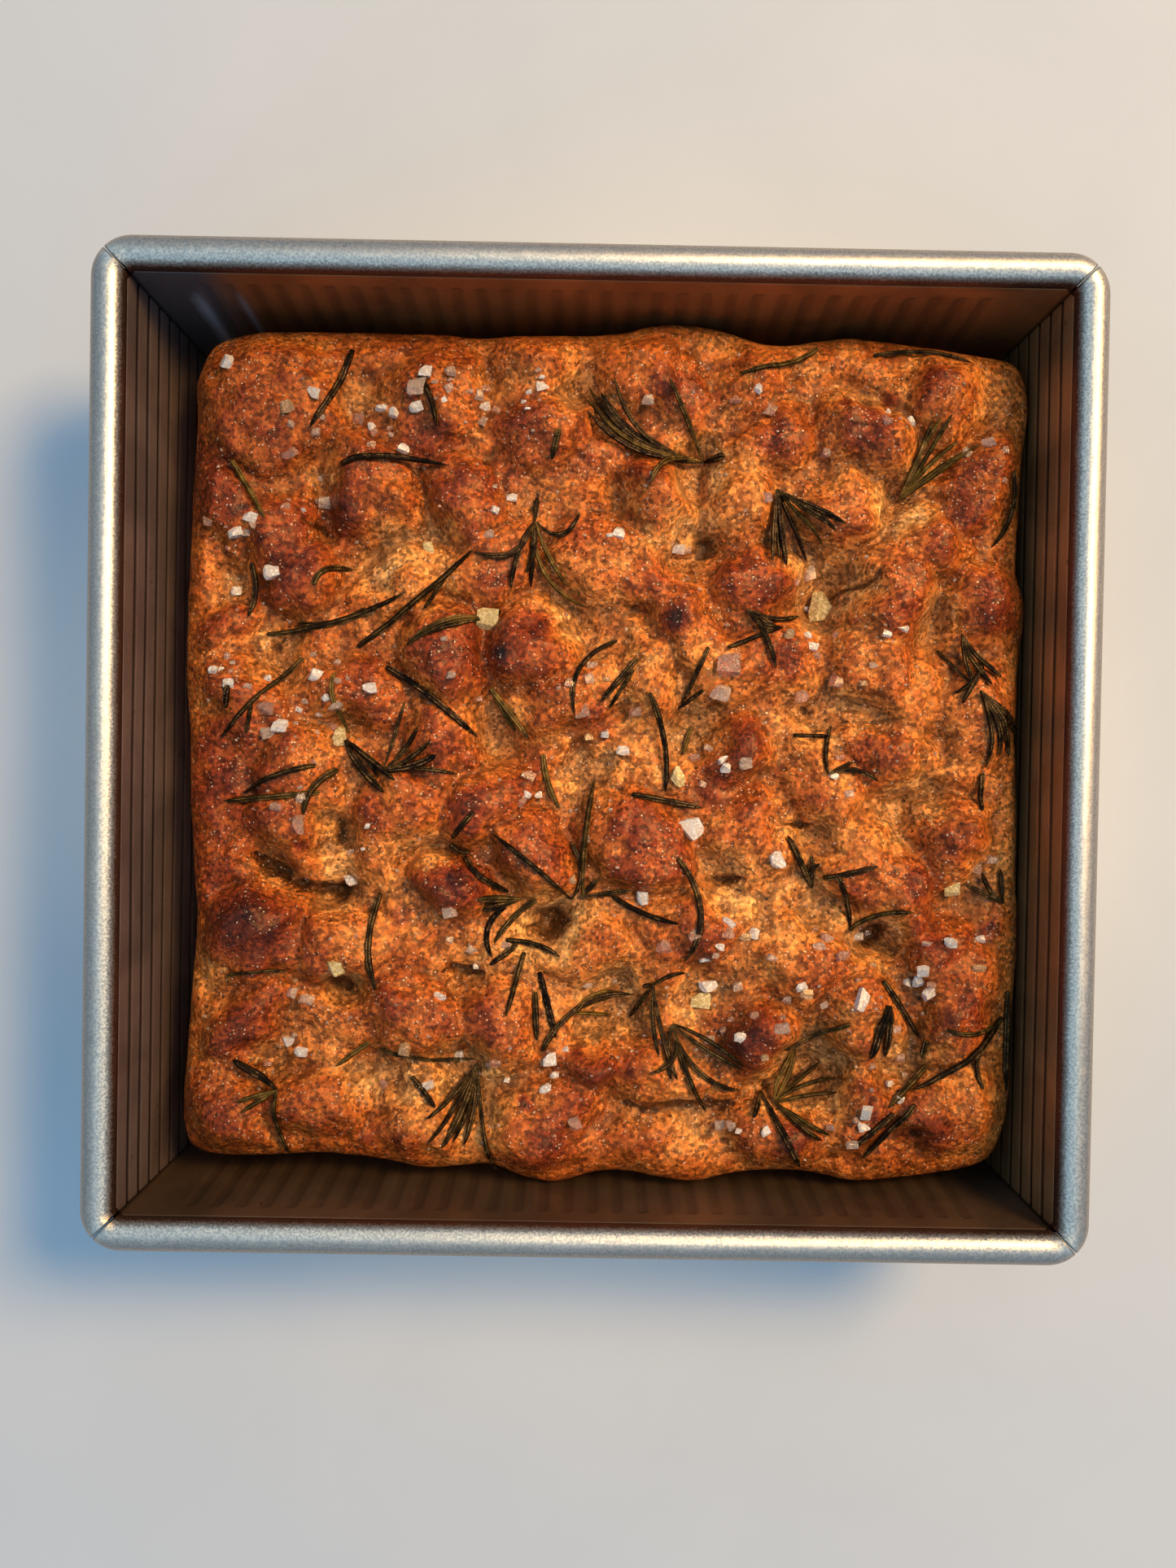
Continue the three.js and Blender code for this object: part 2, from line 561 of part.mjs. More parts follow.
// Highest crust under a point's neighbourhood, on the faceted bread.
function makeCrustProbe(geometry) {
  const position = geometry.attributes.position;
  const index = geometry.index.array;
  const triangles = [];
  for (let k = 0; k < index.length; k += 3) {
    const triangle = new THREE.Triangle();
    triangle.setFromAttributeAndIndices(position, index[k], index[k + 1], index[k + 2]);
    const normal = triangle.getNormal(new THREE.Vector3());
    if (normal.z > LEAST_UPWARD) triangles.push(triangle);
  }
  const bucketOf = (place) => Math.floor(place / PROBE_CELL);
  const buckets = new Map();
  for (const triangle of triangles) {
    const box = new THREE.Box3().setFromPoints([triangle.a, triangle.b, triangle.c]);
    for (let i = bucketOf(box.min.x); i <= bucketOf(box.max.x); i++) {
      for (let j = bucketOf(box.min.y); j <= bucketOf(box.max.y); j++) {
        const key = `${i},${j}`;
        if (!buckets.has(key)) buckets.set(key, []);
        buckets.get(key).push(triangle);
      }
    }
  }
  const weights = new THREE.Vector3();
  return (x, y) => {
    const place = new THREE.Vector3(x, y, 0);
    let highest = BREAD_FLOOR;
    for (const t of buckets.get(`${bucketOf(x)},${bucketOf(y)}`) ?? []) {
      const [a, b, c] = [t.a, t.b, t.c].map((p) => new THREE.Vector3(p.x, p.y, 0));
      const found = THREE.Triangle.getBarycoord(place, a, b, c, weights);
      if (found && Math.min(weights.x, weights.y, weights.z) >= -TOLERANCE) {
        highest = Math.max(highest, weights.x * t.a.z + weights.y * t.b.z + weights.z * t.c.z);
      }
    }
    return highest;
  };
}

// The lowest that a needle's centreline may lie at a share of its length.
function restLevel(probe, x, y, leaf, share) {
  const place = needlePlace(x, y, leaf, share);
  let highest = 0;
  for (const dx of [-PROBE_SPREAD, 0, PROBE_SPREAD]) {
    for (const dy of [-PROBE_SPREAD, 0, PROBE_SPREAD]) {
      highest = Math.max(highest, probe(place.x + dx, place.y + dy));
    }
  }
  return highest + NEEDLE_HALF_THICK + GAP;
}

// A stiff needle bridges hollows: its few stations are lifted until the whole of it clears.
function restingNeedle(probe, x, y, leaf, startLevel) {
  const levels = NEEDLE_STATIONS.map((share) => restLevel(probe, x, y, leaf, share));
  levels[0] = startLevel;
  for (let pass = 0; pass < REST_PASSES; pass++) {
    for (let k = 0; k <= REST_STEPS; k++) {
      const share = k / REST_STEPS;
      const s = Math.max(1, NEEDLE_STATIONS.findIndex((station) => station >= share));
      const span = NEEDLE_STATIONS[s] - NEEDLE_STATIONS[s - 1];
      const mix = (share - NEEDLE_STATIONS[s - 1]) / span;
      const level = levels[s - 1] + (levels[s] - levels[s - 1]) * mix;
      const short = restLevel(probe, x, y, leaf, share) - level;
      if (short > 0) {
        levels[s] += short;
        if (s > 1) levels[s - 1] += short;
      }
    }
  }
  return NEEDLE_STATIONS.map((share, k) => {
    const place = needlePlace(x, y, leaf, share);
    return new THREE.Vector3(place.x, place.y, levels[k]);
  });
}

function sprigGeometry(probe, { x, y, leaves }) {
  const stemLevels = (leaf) => [0, STEM_SHARE].map((share) => restLevel(probe, x, y, leaf, share));
  const levels = leaves.flatMap(stemLevels);
  const startLevel = Math.max(...levels) + STEM_LIFT;
  const solids = leaves.map((leaf) => {
    const centres = restingNeedle(probe, x, y, leaf, startLevel);
    return toSolid(needleGeometry(centres));
  });
  return toGeometry(solids.reduce((joined, solid) => joined.add(solid)));
}

const focaccia = focacciaGeometry();
const probe = makeCrustProbe(focaccia);

const part = new THREE.Group();
part.add(namedMesh("tin", tinGeometry(), "tin"));
part.add(namedMesh("focaccia", focaccia, "crust"));
SPRIGS.forEach((sprig, k) => {
  const name = `rosemary_sprig_${String(k + 1).padStart(2, "0")}`;
  part.add(namedMesh(name, sprigGeometry(probe, sprig), "rosemary"));
});

export default part;
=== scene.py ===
# %% [markdown]
# # A rosemary focaccia in its tin
# A thick square focaccia lies in the fluted baking tin that it came out of the oven in. This
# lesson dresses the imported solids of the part: a tin of pressed sheet with a rolled rim, a bread
# whose oiled crust is all domes and hollows, roasted rosemary needles, and coarse salt.
# Everything shares one frame: metres, +Z up, the origin under the middle of the tin. Because the
# pieces are small, the numbers below are millimetres and are turned into metres at the last step.

# %% The frame
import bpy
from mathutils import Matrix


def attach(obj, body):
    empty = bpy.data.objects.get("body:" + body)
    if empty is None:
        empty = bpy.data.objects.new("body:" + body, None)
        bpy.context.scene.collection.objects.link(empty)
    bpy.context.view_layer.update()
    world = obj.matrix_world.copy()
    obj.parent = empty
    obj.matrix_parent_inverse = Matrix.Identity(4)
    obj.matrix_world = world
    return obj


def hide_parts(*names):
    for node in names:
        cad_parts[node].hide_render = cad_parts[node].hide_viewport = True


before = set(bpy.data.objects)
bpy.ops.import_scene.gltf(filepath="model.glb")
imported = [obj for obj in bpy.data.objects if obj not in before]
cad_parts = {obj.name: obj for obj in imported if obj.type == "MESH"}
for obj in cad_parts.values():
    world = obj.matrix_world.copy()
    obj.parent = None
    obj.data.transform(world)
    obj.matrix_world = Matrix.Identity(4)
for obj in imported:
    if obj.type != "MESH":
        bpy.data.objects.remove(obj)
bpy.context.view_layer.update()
print("solids in the frame:", len(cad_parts))

# %% Tools for the whole lesson
import math

import bmesh
import bpy
import numpy as np
from mathutils import Matrix, Quaternion, Vector, noise

MM = 0.001
SEED = 91
print("Blender", bpy.app.version_string)

# %% [markdown]
# ## Camera
# The tin is seen from straight above, from about a forearm's height, so its walls lean outwards in
# the view. A level camera placed over the middle would do, but the tin is turned a degree, so the
# camera is turned by the same small rotation vector instead of moving the part.

# %% Camera
CAMERA_PLACE = (-0.00243, -0.00347, 0.34271)
CAMERA_LEAN_DEGREES = (-0.784, -0.236, 0.997)
camera_data = bpy.data.cameras.new("camera")
camera_data.lens = 27.03
camera_data.sensor_width = 36
camera_data.clip_start = 0.01
camera = bpy.data.objects.new("camera", camera_data)
camera.location = CAMERA_PLACE
lean = Vector([math.radians(turn) for turn in CAMERA_LEAN_DEGREES])
camera.rotation_mode = "QUATERNION"
camera.rotation_quaternion = Quaternion(lean.normalized(), lean.length)
bpy.context.scene.collection.objects.link(camera)
bpy.context.scene.camera = camera
print("camera height", round(camera.location.z, 3), "m")

# %% [markdown]
# ## Light
# Warm light falls from the far right, as from a large window with evening sun on it, and cool
# daylight fills the shadows. The wide area light gives shadows with soft edges. A second one, small
# and steep, is held to a narrow cone over the tin and warms the flats of the crust. The world gives
# the fill, which also shows as blue-grey flanks on the rolled rim.

# %% Two area lights
def add_area_light(name, direction, distance, size, energy, colour, cone):
    """A square light that shines at the origin from a direction, within a cone."""
    towards = Vector(direction).normalized()
    data = bpy.data.lights.new(name, "AREA")
    data.shape = "SQUARE"
    data.size = size
    data.spread = cone
    data.energy = energy
    data.color = colour
    light = bpy.data.objects.new(name, data)
    light.location = towards * distance
    light.rotation_mode = "QUATERNION"
    light.rotation_quaternion = towards.to_track_quat("Z", "Y")
    bpy.context.scene.collection.objects.link(light)
    print(name, "light at", [round(v, 2) for v in light.location])


add_area_light("key", (0.74, 0.54, 1.0), distance=2.0, size=0.6, energy=33,
               colour=(1.0, 0.66, 0.27), cone=math.pi)
add_area_light("steep", (0.30, 0.22, 1.0), distance=0.86, size=0.20, energy=0.062,
               colour=(1.0, 0.80, 0.55), cone=math.radians(11))

# %% Fill from the sky
SKY_COLOUR = (0.38, 0.66, 1.0, 1)
SKY_STRENGTH = 0.60
sky = bpy.data.worlds.new("sky")
sky.use_nodes = True
sky_light = sky.node_tree.nodes["Background"]
sky_light.inputs["Color"].default_value = SKY_COLOUR
sky_light.inputs["Strength"].default_value = SKY_STRENGTH
bpy.context.scene.world = sky
bpy.context.scene.view_settings.view_transform = "Standard"
print("sky strength", SKY_STRENGTH)

# %% [markdown]
# ## Helpers for pieces
# Every piece is made in a bmesh, a mesh that operators can work on. `make_piece` turns it into an
# object whose place is in its points, gives it its materials and smooths it.

# %% From a bmesh to a piece
def mesh_from(name, bm):
    mesh = bpy.data.meshes.new(name)
    bm.to_mesh(mesh)
    bm.free()
    return mesh


def make_piece(name, bm, materials, smooth=True):
    """Writes a bmesh that is in metres to a new object at the origin."""
    mesh = mesh_from(name, bm)
    for material in materials:
        mesh.materials.append(material)
    mesh.polygons.foreach_set("use_smooth", [smooth] * len(mesh.polygons))
    piece = bpy.data.objects.new(name, mesh)
    bpy.context.scene.collection.objects.link(piece)
    print(name, "has", len(mesh.polygons), "faces")
    return piece


def belong(piece, slot, *nodes):
    """The piece rides on the part's one body and stands for the named solids."""
    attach(piece, "root")
    if nodes:
        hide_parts(*nodes)


def points_of(bm):
    return np.array([vert.co[:] for vert in bm.verts])


def place_points(bm, places):
    for vert, place in zip(bm.verts, places):
        vert.co = place


def pull_edges(bm, edges, step):
    """Extrudes the edges by a step and returns the new ones."""
    pulled = bmesh.ops.extrude_edge_only(bm, edges=edges)["geom"]
    moved = {item for item in pulled if isinstance(item, bmesh.types.BMVert)}
    bmesh.ops.translate(bm, verts=list(moved), vec=step)
    made = [item for item in pulled if isinstance(item, bmesh.types.BMEdge)]
    return [edge for edge in made if all(vert in moved for vert in edge.verts)]


# %% [markdown]
# Colours and roughness come from shader nodes. A few short helpers keep the material cells
# readable: `add_node` makes a node and feeds its inputs, and the others are the handful of nodes
# that every finish here uses.

# %% Nodes and their inputs
def add_node(tree, kind, settings=None, **inputs):
    """A shader node; each input gets a value, or is fed by another node's output."""
    made = tree.nodes.new("ShaderNode" + kind)
    for name, value in (settings or {}).items():
        setattr(made, name, value)
    for name, value in inputs.items():
        feed(tree, made.inputs[name.replace("_", " ")], value)
    return made


def feed(tree, socket, value):
    if isinstance(value, bpy.types.NodeSocket):
        tree.links.new(value, socket)
    else:
        socket.default_value = value


def calculate(tree, operation, first, second=0.0, clamp=False):
    made = add_node(tree, "Math", {"operation": operation, "use_clamp": clamp})
    feed(tree, made.inputs[0], first)
    feed(tree, made.inputs[1], second)
    return made.outputs[0]


print("node helpers:", [helper.__name__ for helper in (add_node, feed, calculate)])


# %% Colours and ranges
def blend_colours(tree, share, first, second, how="MIX"):
    made = add_node(tree, "Mix", {"data_type": "RGBA", "blend_type": how})
    feed(tree, made.inputs[0], share)
    feed(tree, made.inputs[6], first)
    feed(tree, made.inputs[7], second)
    return made.outputs[2]


def remap(tree, value, low, high, to_low=0.0, to_high=1.0):
    made = add_node(tree, "MapRange", {"interpolation_type": "SMOOTHSTEP"}, Value=value)
    limits = {"From Min": low, "From Max": high, "To Min": to_low, "To Max": to_high}
    for name, number in limits.items():
        made.inputs[name].default_value = number
    return made.outputs[0]


def colour_ramp(tree, share, stops):
    made = add_node(tree, "ValToRGB", Fac=share)
    ramp = made.color_ramp
    while len(ramp.elements) < len(stops):
        ramp.elements.new(0.5)
    for element, (place, colour) in zip(ramp.elements, stops):
        element.position = place
        element.color = (*colour, 1)
    return made.outputs[0]


print("colour helpers:", [helper.__name__ for helper in (blend_colours, remap, colour_ramp)])


# %% Textures measured in millimetres
def millimetres(tree):
    """The place on the object in millimetres, so that a texture's scale is one over its grain."""
    where = add_node(tree, "TexCoord").outputs["Object"]
    made = add_node(tree, "VectorMath", {"operation": "SCALE"})
    tree.links.new(where, made.inputs[0])
    made.inputs["Scale"].default_value = 1 / MM
    return made.outputs[0]


def cloud(tree, where, width, detail=2.0, roughness=0.55, warp=0.0):
    """Noise whose blotches have about the given width in millimetres."""
    made = add_node(tree, "TexNoise", Vector=where, Scale=1 / width, Detail=detail,
                    Roughness=roughness, Distortion=warp)
    return made.outputs["Fac"]


def cells(tree, where, spacing):
    """Soft distance from the middle of the nearest cell, in shares of the cells' spacing."""
    made = add_node(tree, "TexVoronoi", {"feature": "SMOOTH_F1"}, Vector=where, Scale=1 / spacing)
    return made.outputs["Distance"]


def speckle(tree, where, spacing):
    """A random number for each tiny cell."""
    made = add_node(tree, "TexVoronoi", Vector=where, Scale=1 / spacing)
    return add_node(tree, "SeparateColor", Color=made.outputs["Color"]).outputs["Red"]


print("texture helpers:", [helper.__name__ for helper in (cloud, cells, speckle)])


# %% Layers of a finish
def weighted(tree, *pairs):
    """The sum of values times their weights, where each value swings about 0.5."""
    total = 0.0
    for value, weight in pairs:
        swing = calculate(tree, "MULTIPLY", calculate(tree, "SUBTRACT", value, 0.5), weight)
        total = calculate(tree, "ADD", swing, total)
    return total


def cover(tree, colour, mask, paint, share=1.0):
    """Paints over the colour where the mask is up, by the share at most."""
    if share < 1.0:
        mask = calculate(tree, "MULTIPLY", mask, share)
    return blend_colours(tree, mask, colour, (*paint, 1))


def darken(tree, colour, factor):
    """The colour times a factor, which may also be above one."""
    return blend_colours(tree, 1.0, colour, factor, "MULTIPLY")


def stored(tree, name):
    """A number that the mesh keeps for each of its points."""
    return add_node(tree, "Attribute", {"attribute_name": name}).outputs["Fac"]


print("layer helpers:", [helper.__name__ for helper in (weighted, cover, darken, stored)])


# %% A material and its bump
def new_material(name):
    material = bpy.data.materials.new(name)
    material.use_nodes = True
    return material, material.node_tree, material.node_tree.nodes["Principled BSDF"]


def dress(tree, surface, colour, roughness, height, strength, depth):
    """Links the colour, the roughness and a bump whose depth is in millimetres."""
    bump = add_node(tree, "Bump", Height=height, Strength=strength, Distance=depth * MM)
    tree.links.new(colour, surface.inputs["Base Color"])
    tree.links.new(roughness, surface.inputs["Roughness"])
    tree.links.new(bump.outputs["Normal"], surface.inputs["Normal"])


print("materials are started by", new_material.__name__, "and ended by", dress.__name__)

# %% [markdown]
# Two effects turn up in more than one finish, so each is a node group, built once. `specks` marks
# scattered dots of uneven size, such as char on crust or crumbs of rust on tin: a Voronoi texture
# gives each dot its own cell, and the cell's random colour decides how large the dot is. `grain`
# gives the height of a fine uneven surface for a Bump node.

# %% An empty node group
def new_group(name, inputs, outputs):
    group = bpy.data.node_groups.new(name, "ShaderNodeTree")
    for label, kind, value in inputs:
        socket = group.interface.new_socket(label, in_out="INPUT", socket_type=kind)
        if value is not None:
            socket.default_value = value
    for label in outputs:
        group.interface.new_socket(label, in_out="OUTPUT", socket_type="NodeSocketFloat")
    return group, group.nodes.new("NodeGroupInput").outputs, group.nodes.new("NodeGroupOutput").inputs


print("groups are started by", new_group.__name__)

# %% Specks
LEAST_DOT = 0.3
DOT_WOBBLE = 0.3
DOT_SHARPNESS = 28.0


def make_specks_group():
    group, given, out = new_group(
        "specks",
        [("Vector", "NodeSocketVector", None), ("Spacing", "NodeSocketFloat", 2.0),
         ("Share", "NodeSocketFloat", 0.3), ("Size", "NodeSocketFloat", 0.3)],
        ["Mask"],
    )
    scale = calculate(group, "DIVIDE", 1.0, given["Spacing"])
    dots = add_node(group, "TexVoronoi", Vector=given["Vector"], Scale=scale, Randomness=1.0)
    colour = add_node(group, "SeparateColor", Color=dots.outputs["Color"])
    chosen = calculate(group, "LESS_THAN", colour.outputs["Red"], given["Share"])
    reach = calculate(group, "MULTIPLY_ADD", colour.outputs["Green"], 1 - LEAST_DOT)
    feed(group, reach.node.inputs[2], LEAST_DOT)
    radius = calculate(group, "MULTIPLY", reach, given["Size"])
    wobble = add_node(group, "TexNoise", Vector=given["Vector"], Scale=3.0, Detail=2.0)
    away = calculate(group, "MULTIPLY_ADD", wobble.outputs["Fac"], DOT_WOBBLE)
    feed(group, away.node.inputs[2], dots.outputs["Distance"])
    inside = calculate(group, "SUBTRACT", radius, calculate(group, "SUBTRACT", away, DOT_WOBBLE / 2))
    soft = calculate(group, "MULTIPLY", inside, DOT_SHARPNESS, clamp=True)
    group.links.new(calculate(group, "MULTIPLY", soft, chosen), out["Mask"])
    return group


SPECKS = make_specks_group()


def specks(tree, where, spacing, share, size):
    made = add_node(tree, "Group", {"node_tree": SPECKS}, Vector=where, Spacing=spacing,
                    Share=share, Size=size)
    return made.outputs["Mask"]


print("group:", SPECKS.name)


# %% Grain
def make_grain_group():
    group, given, out = new_group(
        "grain",
        [("Vector", "NodeSocketVector", None), ("Coarse", "NodeSocketFloat", 1.2),
         ("Fine", "NodeSocketFloat", 0.45)],
        ["Height"],
    )
    bubbles = add_node(group, "TexVoronoi", {"feature": "SMOOTH_F1"}, Vector=given["Vector"],
                       Scale=calculate(group, "DIVIDE", 1.0, given["Coarse"]))
    ripple = add_node(group, "TexNoise", Vector=given["Vector"], Detail=2.0,
                      Scale=calculate(group, "DIVIDE", 1.0, given["Fine"]))
    domes = calculate(group, "MULTIPLY", bubbles.outputs["Distance"], -0.5)
    ripples = calculate(group, "MULTIPLY", ripple.outputs["Fac"], 0.5)
    group.links.new(calculate(group, "ADD", domes, ripples), out["Height"])
    return group


GRAIN = make_grain_group()


def grain(tree, where, coarse, fine):
    made = add_node(tree, "Group", {"node_tree": GRAIN}, Vector=where, Coarse=coarse, Fine=fine)
    return made.outputs["Height"]


print("group:", GRAIN.name)

# %% [markdown]
# ## The tin
# The tin is one thin sheet with a corrugated pattern pressed into it, folded up on four sides, with
# its edge rolled outwards round a wire. The corrugation runs one way over the whole sheet, so it
# climbs the near and far walls and lies level along the side walls. A flat box with a painted
# pattern would not catch the light, so the real forming is followed: flat grids get the pressed
# pattern, then are bent along the tin's section.

# %% Sizes of the tin, in millimetres
TIN_HEIGHT = 57.0
RIM_WIDTH = 249.0
RIM_RADIUS = 4.25
RIM_LEVEL = TIN_HEIGHT - RIM_RADIUS
SHEET = 1.0
WALL_DRAFT = 0.065
FLOOR_BEND = 3.0
RIB_PITCH = 6.35
RIB_DEPTH = 0.35
RIB_REACH = 103.2
RIB_TOP_GAP = 5.5
CORNER_CENTRE = 114.0


def inner_half(z):
    """Half the room between opposite walls at a height."""
    return RIM_WIDTH / 2 - 2 * RIM_RADIUS - (RIM_LEVEL - z) * WALL_DRAFT


draft_angle = math.atan(WALL_DRAFT)
bend_top = SHEET + FLOOR_BEND * (1 - math.sin(draft_angle))
floor_edge = inner_half(bend_top) - FLOOR_BEND * math.cos(draft_angle)
bend_length = FLOOR_BEND * (math.pi / 2 - draft_angle)
wall_length = (RIM_LEVEL - bend_top) / math.cos(draft_angle)
sheet_reach = floor_edge + bend_length + wall_length
print("the sheet reaches", round(sheet_reach, 1), "mm from the middle before it is folded")


# %% The section that the sheet is bent to
def bent_section(along):
    """Distance from the tin's middle, height and outward direction at a distance along the sheet."""
    turned = np.clip((along - floor_edge) / FLOOR_BEND, 0, math.pi / 2 - draft_angle)
    climbed = np.clip(along - floor_edge - bend_length, 0, None)
    half = np.minimum(along, floor_edge) + FLOOR_BEND * np.sin(turned) + climbed * math.sin(draft_angle)
    height = SHEET + FLOOR_BEND * (1 - np.cos(turned)) + climbed * math.cos(draft_angle)
    return half, height, np.sin(turned), -np.cos(turned)


def ease(value):
    value = np.clip(value, 0, 1)
    return value * value * (3 - 2 * value)


def corrugation(across, low, high):
    """0 on the flat bands and 1 in the grooves between them, which are narrow if low is high."""
    wave = np.sin(across * 2 * math.pi / RIB_PITCH)
    return ease((wave - low) / (high - low))


def stations(*spans):
    """Places along a line, from spans of (start, end, steps)."""
    places = [np.linspace(start, end, steps, endpoint=False) for start, end, steps in spans]
    return np.append(np.concatenate(places), spans[-1][1])


print("section at the rim:", [round(float(v), 2) for v in bent_section(np.array(sheet_reach))])


# %% Grids with chosen spacing
def grid_of(columns, rows):
    """A flat grid, and for each of its points the column and row value that it stands for."""
    bm = bmesh.new()
    bmesh.ops.create_grid(bm, x_segments=len(columns) - 1, y_segments=len(rows) - 1, size=0.5)
    flat = points_of(bm)
    column = columns[np.rint((flat[:, 0] + 0.5) * (len(columns) - 1)).astype(int)]
    row = rows[np.rint((flat[:, 1] + 0.5) * (len(rows) - 1)).astype(int)]
    return bm, column, row


def add_mask(bm, name, values):
    """Stores one number per point for a material to read."""
    layer = bm.verts.layers.float.new(name)
    for vert, value in zip(bm.verts, values):
        vert[layer] = float(value)


print("grid helpers:", [helper.__name__ for helper in (grid_of, add_mask)])

# %% [markdown]
# The strip below is the floor and both end walls in one, as it leaves the press. Its outermost
# columns spread with the height, so that the end walls meet the side walls in a mitre, and they
# pass a millimetre behind them, which closes the corner as the real folded corner does.

# %% Floor and end walls
RIB_STEPS = 12
CORNER_TAB = 1.0
MARGIN_MARK = 1000
STRIP_WAVE = (-0.35, 0.75)
RIB_END = RIB_REACH - 1.6
RIB_END_SOFTNESS = 0.8
RIB_ROUND = 1.4
SEAM_WIDTH = 0.45
PAINTED_SHEEN_FROM = -88
PAINTED_GLEAM_STREAKS = ((-103, 1.3, 1.0), (-92.3, 1.0, 0.6))


def room_between_walls(half):
    return np.maximum(half, floor_edge)


def strip_grid():
    """Ribbed columns with a marked margin at each end, and rows from rim to rim."""
    ribbed = stations((-RIB_REACH, RIB_REACH, int(2 * RIB_REACH / RIB_PITCH * RIB_STEPS)))
    margin = stations((0, 0.72, 3), (0.72, 0.94, 2), (0.94, 1.0, 2))
    columns = np.concatenate([-MARGIN_MARK - margin[::-1], ribbed[1:-1], MARGIN_MARK + margin])
    half_rows = stations((0, floor_edge - 4, 3), (floor_edge - 4, floor_edge, 1),
                         (floor_edge, floor_edge + bend_length, 6),
                         (floor_edge + bend_length, sheet_reach - 10, 8),
                         (sheet_reach - 10, sheet_reach - 3, 14), (sheet_reach - 3, sheet_reach, 3))
    return grid_of(columns, np.concatenate([-half_rows[:0:-1], half_rows]))


def mark_strip(bm, x, row, half, groove):
    """Masks for the finish: cracks in the corners, grooves, and the far left corner's painted sky
    reflection and highlight streaks.
    """
    climbing = row - floor_edge
    to_corner = room_between_walls(half) - np.abs(x)
    add_mask(bm, "seam", np.exp(-(to_corner / SEAM_WIDTH) ** 2) * (np.abs(row) > floor_edge))
    add_mask(bm, "groove", groove)
    add_mask(bm, "far", ease(0.5 + row / 60))
    # The far left corner gets a painted reflection of the sky and two painted highlight streaks.
    add_mask(bm, "painted_sheen", ease((PAINTED_SHEEN_FROM - x) / 14) * ease(climbing / 12))
    streaks = sum(share * np.exp(-((x - place) / width) ** 2) for place, width, share in PAINTED_GLEAM_STREAKS)
    add_mask(bm, "painted_gleam", ease((sheet_reach - 8 - row) / 12) * ease(climbing / 8) * streaks)


print("rows of the strip reach", round(sheet_reach, 1), "mm each way")


# %% Folding the strip
def folded_strip():
    bm, column, row = strip_grid()
    along = np.abs(row)
    half, height, out_y, out_z = bent_section(along)
    tab = CORNER_TAB * ease((along - floor_edge) / bend_length)
    spread = np.abs(column) - MARGIN_MARK
    edge = RIB_REACH + np.clip(spread, 0, 1) * (room_between_walls(half) + tab - RIB_REACH)
    x = np.where(spread >= 0, np.sign(column) * edge, column)
    groove = corrugation(x, *STRIP_WAVE) * ease((RIB_END - np.abs(x)) / RIB_END_SOFTNESS)
    round_end = RIB_ROUND * (1 - groove)
    groove = groove * ease((sheet_reach - RIB_TOP_GAP - round_end - along) / RIB_ROUND)
    y = half + out_y * groove * RIB_DEPTH
    z = height + out_z * groove * RIB_DEPTH
    place_points(bm, np.stack([x, np.sign(row) * y, z], 1) * MM)
    mark_strip(bm, x, row, half, groove)
    return bm


strip_mesh = folded_strip()
print("strip points:", len(strip_mesh.verts))


# %% Side walls
TOP_TUCK = 0.04
SIDE_RIB_START = 4.9
SIDE_WAVE = (0.72, 0.92)
DENT_DEPTH = 0.12


def side_wall(side):
    half_columns = stations((0, 0.9, 9), (0.9, 0.985, 4), (0.985, 0.995, 2), (0.995, 1.0, 2))
    columns = np.concatenate([-half_columns[:0:-1], half_columns])
    wall_foot = floor_edge + bend_length
    rows = stations((floor_edge, wall_foot, 6), (wall_foot, sheet_reach - RIB_TOP_GAP, 90),
                    (sheet_reach - RIB_TOP_GAP, sheet_reach, 6))
    bm, column, along = grid_of(columns, rows)
    half, height, out_x, out_z = bent_section(along)
    y = column * half
    below_rim = sheet_reach - along
    to_corner = half - np.abs(y)
    groove = corrugation(below_rim - SIDE_RIB_START, *SIDE_WAVE) * ease((below_rim - 2.0) / 0.6)
    groove = groove * ease((along - floor_edge) / bend_length)
    dents = DENT_DEPTH * np.sin(y / 17.0 + side) * np.sin(along / 9.0)
    x = half + out_x * groove * RIB_DEPTH + TOP_TUCK * ease(1 - below_rim / 1.5)
    x = x + dents * ease(to_corner / 10) * ease(below_rim / 8)
    z = height + out_z * groove * RIB_DEPTH
    place_points(bm, np.stack([side * x, y, z], 1) * MM)
    add_mask(bm, "seam", np.exp(-(to_corner / SEAM_WIDTH) ** 2))
    add_mask(bm, "groove", groove)
    if side > 0:
        bmesh.ops.reverse_faces(bm, faces=bm.faces)
    return bm


print("side wall points:", len(side_wall(1).verts))

# %% [markdown]
# The rolled rim is a round bead. Each side of the square has its own bead, cut at 45 degrees in the
# corner, where a thin dark crack stays between two beads. A circle is spun round the corner,
# drawn straight along the side and spun round the next corner, then its ends are capped and the
# sharp edges bevelled.

# %% Rolled rim
RIM_SIDES = 36
RIM_RUNS = 40
CRACK_ANGLE = math.radians(0.8)
CORNER_STEPS = 9
END_BEVEL = 0.3
CRACK_WIDTH = 0.4
UP = Vector((0, 0, 1))


